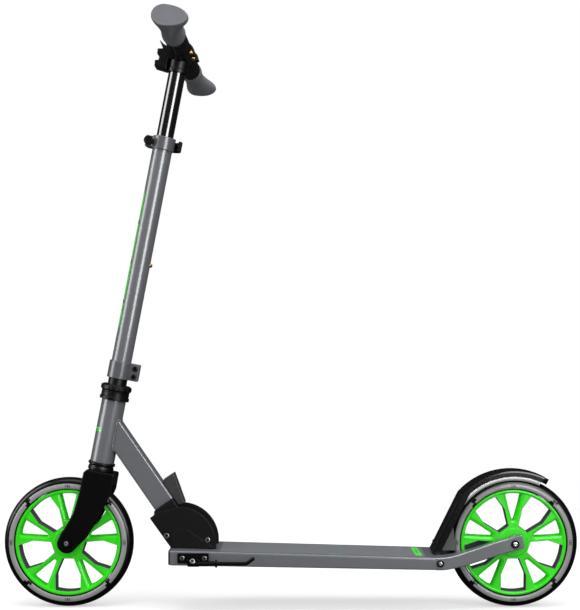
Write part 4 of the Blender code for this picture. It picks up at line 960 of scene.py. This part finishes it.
def make_stem():
    """Split clamp with its two bolts, and the lower tube with four holes for the height button."""
    shell = band(Shell(), 0.0179, 0.0157, 0.2584, 0.2850, 0.0010, 0)
    ears(shell, 0.0150, 0.0306, 0.0150, 0.0085, 0.2586, 0.2848, 0.0012, 0.0014)
    shell.make("split_clamp", clamp_metal, "stem_clamp")
    for label, station in (("upper", 0.2780), ("lower", 0.2655)):
        bolt = place(STEM((0.0245, 0, station)), ACROSS, NEAR)
        shell = button_head(Shell(), bolt, 0.0042, 0.0088, 0.0118, 0.0007, 0.0016, 6, 1)
        rod = [(0, 0.0088), (0.0025, 0.0088), (0.0025, -0.0104), (0, -0.0104)]
        spin(shell, rounded(rod, 0.0003, 2, False), bolt, 32)
        # The heads are dark steel; the socket takes black paint, painted shade in the recess.
        shell.make("clamp_socket_bolt_" + label, [dark_steel_and_recess_shade, black_paint_and_recess_shade], "clamp_bolt_" + label)

    lower_tube = pipe(Shell(), TUBE, 0.0136, 0.2590, 0.6200, STEM, 0.0006).make(
        "stem_lower_tube", stem_paint, "stem_tube")
    carve(lower_tube, [(0.0155, 0, HEIGHT_BUTTON + offset) for offset in (-0.090, -0.045, 0.0, 0.045)],
          0.0037, 0.006)


def carve(piece, centres, radius, half_length):
    """Round holes, square to the stem, cut through a finished piece for its snap buttons."""
    tools = []
    for centre in centres:
        mesh = bpy.data.meshes.new("drill")
        shell = shank(Shell(), place(STEM(centre), UP_STEM, ACROSS), radius, half_length, -half_length, 29)
        mesh.from_pydata(np.concatenate(shell.points), [], shell.faces)
        form = bmesh.new()
        form.from_mesh(mesh)
        bmesh.ops.remove_doubles(form, verts=form.verts, dist=1e-7)
        bmesh.ops.recalc_face_normals(form, faces=form.faces)
        form.to_mesh(mesh)
        form.free()
        tool = bpy.data.objects.new("drill", mesh)
        bpy.context.scene.collection.objects.link(tool)
        modifier = piece.modifiers.new("bore", "BOOLEAN")
        modifier.object, modifier.solver, modifier.use_self = tool, "EXACT", True
        tools.append(tool)
    graph = bpy.context.evaluated_depsgraph_get()
    mesh = bpy.data.meshes.new_from_object(piece.evaluated_get(graph))
    piece.modifiers.clear()
    piece.data = mesh
    mesh.set_sharp_from_angle(angle=math.radians(32))
    for tool in tools:
        bpy.data.objects.remove(tool, do_unlink=True)


def make_height_clamp():
    """Quick-release collar; its skewer, whose thumb nut has eighteen ridges, r (1 - 0.05 step(cos 18 a));
    and the cam lever, which runs from the cam round behind the tube on a widening arc."""
    shell = band(Shell(), 0.0178, 0.0157, 0.6196, 0.6400, 0.0010, 180)
    low, high = COLLAR_MIDDLE - 0.0085, COLLAR_MIDDLE + 0.0085
    ears(shell, -0.0160, -0.0275, -0.0150, 0.0090, low, high, 0.0012, 0.0016)
    shell.make("height_collar_band", clamp_metal, "height_collar")

    where = place(STEM((-0.0215, 0, 0.6295)), ACROSS, NEAR)
    rod = rounded([(0, -0.0088), (0.0025, -0.0088), (0.0025, 0.0093), (0.0040, 0.0095), (0.0040, 0.0118),
                   (0.0066, 0.0118)], 0.0003, 2, False)
    cap = [(0.0072, 0.0120), (0.0074, 0.0126), (0.0074, 0.0184), (0.0070, 0.0196), (0.0062, 0.0204),
           (0.0046, 0.0205), (0.0040, 0.0203), (0.0037, 0.0194), (0.0, 0.0193)]
    r, h = np.concatenate([rod, cap]).T
    a = np.linspace(0, TAU, 120, endpoint=False)[:, None]
    r = r * (1 - 0.05 * blendstep(np.cos(a * 18), -0.2, 0.4) * (r > 0.0069))
    shell = Shell().grid(where(np.stack([r * np.cos(a), r * np.sin(a), h + 0 * a], -1)), (True, False))
    shell.make("clamp_thumb_nut", black_plastic, "qr_skewer", sharp=40)

    share = np.linspace(0, 1, 40)
    angle = np.radians(140 - 158 * share)
    inner = np.stack([np.cos(angle), np.sin(angle)], 1) * (0.0186 + 0.0059 * share)[:, None]
    outer = np.stack([np.cos(angle), np.sin(angle)], 1) * (0.0229 + 0.0070 * share)[:, None]
    cam = ring(0.0054, 50, 290, 24, (-0.0215, 0.0150), False)
    loop = np.concatenate([outer[:5:-1], cam, inner])
    plate(Shell(), rounded(loop, 0.0012, 4), 0.6215, 0.6375, STEM, 0.0012).make(
        "cam_lever", black_plastic, "qr_lever")


def snap_button(node, centre, profile):
    """A sprung brass button, its rounded profile spun about a line square to the stem."""
    shell = Shell()
    where = place(STEM(centre), UP_STEM, ACROSS)
    spin(shell, rounded(profile, 0.0004, 4, False), where, 40)
    shell.make(node + "_dome", brass, node)


# ---- handlebar --------------------------------------------------------------------------
def make_bar():
    """Telescopic tube, T joint, and the clip and strap that hold the handles when stowed."""
    inner = pipe(Shell(), INNER_TUBE, 0.0116, 0.4200, 0.7570, STEM, 0.0005).make(
        "telescopic_tube", black_gloss, "inner_tube")
    carve(inner, [(0.0126, 0, HEIGHT_BUTTON)], 0.0037, 0.004)
    axis = bar_place(1)
    shell = Shell()
    loop = rounded([(0.0113, -0.038), (0.0152, -0.038), (0.0152, -0.0335), (0.0145, -0.0325),
                    (0.0145, 0.0325), (0.0152, 0.0335), (0.0152, 0.038), (0.0113, 0.038)], 0.0005, 3)
    spin(shell, loop, axis, 72)
    socket = rounded([(0.0135, 0.7415), (0.0168, 0.7415), (0.0168, 0.7470), (0.0160, 0.7480),
                      (0.0160, 0.7600), (0.0135, 0.7600)], 0.0005, 3)
    spin(shell, socket, STEM, 72)
    joint = shell.make("t_joint", black_plastic, "t_head")
    carve(joint, [(BAR_ACROSS + 0.0130, side * HANDLE_BUTTON, BAR_ALONG) for side in (-1, 1)], 0.0033, 0.004)

    front = [(-0.0164, 0.7420), (-0.0164, 0.7590), (-0.0060, 0.7600), (-0.0060, 0.7700), (-0.0100, 0.7770),
             (-0.0215, 0.7790), (-0.0262, 0.7800), (-0.0355, 0.7865), (-0.0270, 0.7735), (-0.0350, 0.7720),
             (-0.0345, 0.7640), (-0.0300, 0.7610), (-0.0305, 0.7550), (-0.0360, 0.7535), (-0.0350, 0.7440)]
    shell = plate(Shell(), rounded(front, 0.0010), -0.0140, 0.0140, STEM_SIDE, 0.0010)
    for along in (0.7570, 0.7590, 0.7610):
        rib = STEM([(-0.0300, y, along) for y in np.linspace(-0.012, 0.012, 9)])
        tube(shell, rib, 0.0008, UP_STEM, 10)
    bolt = place(STEM((-0.0235, 0, 0.7500)), ACROSS, NEAR)
    button_head(shell, bolt, 0.0036, 0.0138, 0.0150, 0.0005, 0.0008, 6, 1)
    shell.make("handle_stowing_clip", [black_plastic, dark_steel_and_recess_shade], "front_holder")

    centre = (BAR_ACROSS, BAR_ALONG)
    loop = np.concatenate([ring(0.0190, 118, 18, 30, centre, False),
                           [(0.0262, 0.7752), (0.0300, 0.7675), (0.0265, 0.7655), (0.0220, 0.7720)],
                           ring(0.0149, 0, 118, 30, centre, False)])
    plate(Shell(), rounded(loop, 0.0008), -0.0075, 0.0075, STEM_SIDE, 0.0008).make(
        "rear_strap", black_plastic, "strap_loop")


def grip_section(y, half_width, half_height, wing, a):
    """An oval whose rear half is drawn out into a palm rest: across = w cos a (1 + wing),
    up = h sin a (1 + 0.16 wing cos^2 a sin^2 a) - 2.4 mm wing + 0.06 across wing."""
    across = half_width * np.cos(a)
    across = np.where(across > 0, across * (1 + wing), across)
    thin = 1 + wing * (0.16 * np.maximum(np.cos(a), 0.0) ** 2 * np.sin(a) ** 2)
    up = half_height * thin * np.sin(a) - 0.0024 * wing + 0.06 * across * wing
    return np.stack([BAR_ACROSS + across, y + 0 * a, BAR_ALONG + up], -1)


def make_handle(side, label):
    where = bar_place(side)
    bar = pipe(Shell(), 0.0110, 0.0095, 0.0090, 0.2360, where, 0.0004, 64).make(
        "handle_bar_" + label, black_gloss, "handle_tube_" + label)
    carve(bar, [(BAR_ACROSS + 0.0104, side * HANDLE_BUTTON, BAR_ALONG)], 0.0033, 0.004)
    make_collar(where, label)
    make_grip(side, label)


def make_collar(where, label):
    """Three 1.6 mm grooves part the collar into four lengths, each with twenty-eight flutes cut by
    0.6 mm step(cos 28 a); its bore fits the handle's tube."""
    low, high = 0.0392, 0.1172
    bore, steps = 0.0113, 168
    h = np.linspace(low + 0.001, high - 0.001, 120)
    h = np.concatenate([[low, low + 0.0006], h, [high - 0.0006, high]])
    cell = np.mod((h - low) / (high - low) * 4, 1.0)
    valley = blendstep(np.abs(cell - 0.5), 0.42, 0.47) * (np.abs(h - (low + high) / 2) < 0.036)
    ends = 1 - np.clip(np.minimum(h - low, high - h) / 0.0008, 0, 1)
    r = 0.0162 - 0.0016 * valley - 0.0008 * ends
    a = np.linspace(0, TAU, steps, endpoint=False)[:, None]
    flute = 0.0006 * blendstep(np.cos(a * 28), -0.3, 0.5) * (1 - valley) * (1 - ends)
    r = np.concatenate([r - flute, np.full((steps, 2), bore)], 1)
    h = np.concatenate([h, [high, low]])
    shell = Shell().grid(where(np.stack([r * np.cos(a), r * np.sin(a), h + 0 * a], -1)), (True, True))
    shell.make("fluted_collar_" + label, black_plastic, "handle_collar_" + label, sharp=40)


def make_grip(side, label):
    """Oval sections on a cubic through a few stations, from the bore's floor out over the collar
    end and along the grip to a flat end."""
    stations = [(0, 0.0160, 0.0160, 0.0), (0.10, 0.0172, 0.0172, 0.04), (0.30, 0.0152, 0.0150, 0.10),
                (0.50, 0.0148, 0.0140, 0.28), (0.70, 0.0156, 0.0142, 0.60), (0.88, 0.0172, 0.0152, 0.86),
                (0.97, 0.0176, 0.0154, 0.90), (1.0, 0.0164, 0.0144, 0.90)]      # share, width, height, wing
    mouth, floor, bore, lip = 0.1178, 0.2362, 0.0113, 0.0160 - 0.0012
    a = np.linspace(0, TAU, 128, endpoint=False)
    inside = ((floor, 0), (floor, bore), (mouth, bore), (mouth, lip))
    rings = [grip_section(side * y, r, r, 0.0, a) for y, r in inside]
    rings += [grip_section(side * (GRIP_START + share * GRIP_LENGTH), width, height, wing, a)
              for share, width, height, wing in smooth_path(stations, 61)]
    last = rings[-1]
    centre = last.mean(0, keepdims=True)
    for share, out in ((0.985, 0.00012), (0.94, 0.0), (0.75, 0.0), (0.4, 0.0), (0.0, 0.0)):
        rings.append(centre + (last - centre) * share + np.array([0, side * out, 0]))
    shell = Shell().grid(STEM(np.stack(rings)), (False, True))
    shell.make("winged_grip_" + label, grip_rubber, "grip_" + label, sharp=45)


# ---- side stand -------------------------------------------------------------------------
def make_kickstand():
    """Bracket plate, screws and tilted pin; the arm is a bar on a smooth path, its spring a helix:
    (x, r cos a, r sin a), a = 2 pi turns t."""
    y, arm_height = -0.0615, 0.0764
    bracket = rounded(box_outline(-0.1711, 0.07485, -0.1237, 0.09035), 0.0016, 4)
    shell = plate(Shell(), bracket, 0.0493, 0.0523, WORLD_SIDE, 0.0006)
    lug = rounded(box_outline(-0.1556, 0.0703, -0.1376, 0.0813), 0.0016, 4)
    plate(shell, lug, 0.0493, 0.0551, WORLD_SIDE, 0.0008)
    shell.make("stand_bracket", black_paint_and_recess_shade, "kickstand_bracket")
    for label, x, z in (("front", -0.1637, 0.0834), ("rear", -0.1300, 0.0828)):
        where = place((x, -0.0493, z), (1, 0, 0), NEAR)
        shell = button_head(Shell(), where, 0.0038, 0.0033, 0.0056, 0.0008, 0.0012, 4, 1)
        shank(shell, where, 0.0020, 0.0033, 0.0003, 24)
        # Dark steel in the socket: painted shade in the recess.
        shell.make("stand_screw_" + label, [screw_grey, dark_steel_and_recess_shade], "kickstand_screw_" + label)
    tilt = math.radians(30)
    out = (0, -math.cos(tilt), math.sin(tilt))
    pin = place((-0.1470, y, 0.0786), (1, 0, 0), out)
    shell = button_head(Shell(), pin, 0.0040, 0.0035, 0.0056, 0.0008, 0.0010, 6, 1)
    shank(shell, pin, 0.0022, 0.0035, -0.0105)
    # Dark steel in the socket: painted shade in the recess.
    shell.make("stand_pivot_screw", [screw_grey, dark_steel_and_recess_shade], "kickstand_pin")

    shell = spin(Shell(), rounded(box_outline(0.0025, -0.0030, 0.0050, 0.0030), 0.0005, 3), pin, 48)
    path = smooth_path([(x, y, z) for x, z in (
        (-0.1438, 0.0774), (-0.1400, arm_height), (-0.1200, arm_height), (-0.0900, arm_height),
        (-0.0690, arm_height), (-0.0640, 0.0778), (-0.0560, 0.0838))], 70)
    tube(shell, path, 0.00275, (0, 1, 0), 24)
    stop = place((-0.1129, y, arm_height), (0, 1, 0), (1, 0, 0))
    spin(shell, rounded(box_outline(0.0020, 0.0, 0.0058, 0.0028), 0.0005, 3), stop, 48)
    shell.make("stand_arm", black_paint_and_recess_shade, "kickstand_arm")

    turns, coil, length = 13, 0.00375, 0.0246
    t = np.linspace(0, 1, turns * 20 + 1)
    angle = TAU * turns * t
    helix = np.stack([-0.1386 + length * t, y + coil * np.cos(angle), arm_height + coil * np.sin(angle)], 1)
    tube(Shell(), helix, 0.00065, (1, 0, 0), 10).make("stand_coil", black_paint_and_recess_shade, "kickstand_spring", sharp=60)


# ---- small parts ------------------------------------------------------------------------
def make_small_parts():
    """The deck's front cap, the fender's cross bolt and its return spring, a helix about the bolt."""
    cap = rounded(box_outline(-0.0485, -0.0108, 0.0485, 0.0108), 0.0026, 4)
    where = place((DECK_FRONT - 0.0003, 0, (DECK_TOP + DECK_UNDERSIDE) / 2), (0, 1, 0), (-1, 0, 0))
    plate(Shell(), cap, 0.0, 0.0022, where, 0.0007).make("deck_end_cap", black_plastic, "deck_front_cap")

    shell = Shell()
    for side in (-1, 1):
        where = place(FENDER_PIVOT, (1, 0, 0), (0, side, 0))
        ringed_head(shell, where, 0.0055, 0.0468, 0.0493)
    shank(shell, where, 0.0035, 0.0469, -0.0469)
    shell.make("fender_cross_bolt", [steel, black_paint_and_recess_shade], "fender_bolt")
    turns, coil = 2, 0.0050
    t = np.linspace(0, 1, 81)
    angle = TAU * turns * t
    helix = np.stack([coil * np.cos(angle), 0.0160 + 0.0008 * t, coil * np.sin(angle)], 1) + FENDER_PIVOT
    tube(Shell(), helix, 0.0004, (0, 1, 0), 10).make("brake_return_coil", steel, "fender_spring", sharp=60)


make_deck()
make_rails()
for centre_x, label, outer, inner in ((AXLE, "rear", 0.0278, 0.0178), (-AXLE, "front", 0.0240, 0.0183)):
    spoke_core(centre_x, label, label + "_wheel_core")
    tyre(centre_x, label, label + "_tyre")
    bearing(centre_x, -1, label + "_bearing_left")
    bearing(centre_x, 1, label + "_bearing_right")
    axle(centre_x, label, outer, inner)
make_fender()
make_brake_plate()
make_bracket()
make_neck()
make_fold_lever()
make_head_tube()
make_fork()
make_lock_nut()
make_stem()
make_height_clamp()
snap_button("height_button", (0, 0, HEIGHT_BUTTON),
            [(0, 0.0190), (0.0020, 0.0187), (0.0032, 0.0172), (0.0034, 0.0155), (0.0034, 0.0137),
             (0, 0.0137)])
make_bar()
for side, label in ((-1, "left"), (1, "right")):
    make_handle(side, label)
    snap_button("handle_button_" + label, (BAR_ACROSS, side * HANDLE_BUTTON, BAR_ALONG),
                [(0, 0.0180), (0.0017, 0.0177), (0.0027, 0.0164), (0.0029, 0.0150), (0.0029, 0.0114),
                 (0, 0.0114)])
make_kickstand()
make_small_parts()


# ---- floor, lights and camera -----------------------------------------------------------
WHITE = 1.0                          # the surroundings as seen
LOW_LIGHT = 0.26                     # the light they give from below and behind
HIGH_LIGHT = 0.66                    # and from above and in front
MIRRORED_SHARE = 0.15                # the part of that light that gloss shows
LAMPS = (                            # name, place, aim, width, height, radiance
    ("right_strip", (0.86, -1.70, 1.38), (-0.2, 0, 1.38), 0.85, 2.6, 12.0),
    ("left_strip", (-2.10, -0.60, 1.30), (-0.2, 0, 0.75), 1.1, 2.2, 7.0),
    ("right_softbox", (1.9, -1.6, 1.6), (0, 0, 0.4), 1.2, 1.2, 3.9),
    ("left_softbox", (-1.9, -1.6, 1.5), (0, 0, 0.4), 1.2, 1.2, 3.2),
    ("overhead_softbox", (0.1, -0.35, 2.5), (0, 0, 0), 2.8, 1.2, 3.2),
    ("back_softbox", (0.8, 2.4, 1.3), (0, 0, 0.4), 1.6, 1.2, 1.4))


def make_stage():
    """A wide flat disc; its finish fades to the plain white of the surroundings with distance."""
    radii = np.array([0, 0.5, 1.0, 2.0, 4.0, 10.0, 60.0])
    a = np.linspace(0, TAU, 96, endpoint=False)[:, None]
    points = np.stack([radii * np.cos(a), radii * np.sin(a), -0.0002 + 0 * a * radii], -1)
    mesh = bpy.data.meshes.new("pale_floor")
    shell = Shell().grid(points, (True, False))
    mesh.from_pydata(np.concatenate(shell.points), [], shell.faces)
    floor = bpy.data.objects.new("pale_floor", mesh)
    bpy.context.scene.collection.objects.link(floor)
    f = Finish("pale_floor", "c8c8c8", 0.8, Specular_IOR_Level=0.0, Emission_Strength=0.5)
    f.set(Emission_Color=(1, 1, 1, 1))
    x, y = f.along((1, 0, 0)), f.along((0, 1, 0))
    far = (x * x + y * y).math("SQRT").fade(0.55, 1.3)
    glow = f.tree.nodes.new("ShaderNodeEmission")
    glow.inputs["Color"].default_value = (1, 1, 1, 1)
    glow.inputs["Strength"].default_value = WHITE
    blend = f.tree.nodes.new("ShaderNodeMixShader")
    feed(f.tree, blend.inputs[0], far)
    f.tree.links.new(f.shader.outputs[0], blend.inputs[1])
    f.tree.links.new(glow.outputs[0], blend.inputs[2])
    f.tree.links.new(blend.outputs[0], f.tree.nodes["Material Output"].inputs["Surface"])
    mesh.materials.append(f.material)
    floor.visible_glossy = floor.visible_diffuse = False


def make_lights():
    """White surroundings that light the scooter gently, softboxes right, left and behind that light it
    without showing in its gloss, one above that lights it and shows in its gloss, and two strips that show in
    its gloss alone."""
    world = bpy.data.worlds.new("white_studio")
    world.use_nodes = True
    nodes, links = world.node_tree.nodes, world.node_tree.links
    sky = nodes["Background"]
    sky.inputs["Color"].default_value = (1, 1, 1, 1)
    rays, direction = nodes.new("ShaderNodeLightPath"), nodes.new("ShaderNodeTexCoord")
    facing, dimmed = nodes.new("ShaderNodeVectorMath"), nodes.new("ShaderNodeMath")
    rise, mirrored, level = (nodes.new("ShaderNodeMapRange") for _ in range(3))
    facing.operation, dimmed.operation = "DOT_PRODUCT", "MULTIPLY"
    facing.inputs[1].default_value = (0.0, -0.6, 0.8)
    rise.interpolation_type = "SMOOTHSTEP"
    rise.inputs["From Min"].default_value, rise.inputs["From Max"].default_value = -0.5, 0.9
    limits = ((rise, LOW_LIGHT, HIGH_LIGHT), (mirrored, 1.0, MIRRORED_SHARE), (level, 0.0, WHITE))
    for node, low, high in limits:
        node.inputs["To Min"].default_value, node.inputs["To Max"].default_value = low, high
    for output, socket in (
            (direction.outputs["Generated"], facing.inputs[0]), (facing.outputs[1], rise.inputs["Value"]),
            (rays.outputs["Is Glossy Ray"], mirrored.inputs["Value"]),
            (rise.outputs[0], dimmed.inputs[0]), (mirrored.outputs[0], dimmed.inputs[1]),
            (dimmed.outputs[0], level.inputs["To Min"]),
            (rays.outputs["Is Camera Ray"], level.inputs["Value"]),
            (level.outputs[0], sky.inputs["Strength"])):
        links.new(output, socket)
    bpy.context.scene.world = world
    for name, spot, aim, wide, tall, radiance in LAMPS:
        lamp = bpy.data.lights.new(name, "AREA")
        lamp.shape, lamp.size, lamp.size_y = "RECTANGLE", wide, tall
        lamp.energy = radiance * math.pi * wide * tall
        holder = bpy.data.objects.new(name, lamp)
        holder.visible_diffuse = "strip" not in name
        holder.visible_glossy = "strip" in name or "overhead" in name
        holder.location = spot
        holder.rotation_euler = (Vector(aim) - Vector(spot)).to_track_quat("-Z", "Y").to_euler()
        bpy.context.scene.collection.objects.link(holder)


def make_camera():
    camera = bpy.data.cameras.new("camera")
    camera.lens, camera.sensor_width = 72.0, 36.0
    camera.shift_x, camera.shift_y = -0.0361, 0.0492
    camera.dof.use_dof = False
    holder = bpy.data.objects.new("camera", camera)
    holder.location = (0.0329, -1.9, 0.4211)
    holder.rotation_euler = (math.pi / 2, 0, 0)
    bpy.context.scene.collection.objects.link(holder)
    bpy.context.scene.camera = holder


make_stage()
make_lights()
make_camera()
bpy.context.scene.view_settings.view_transform = "Standard"
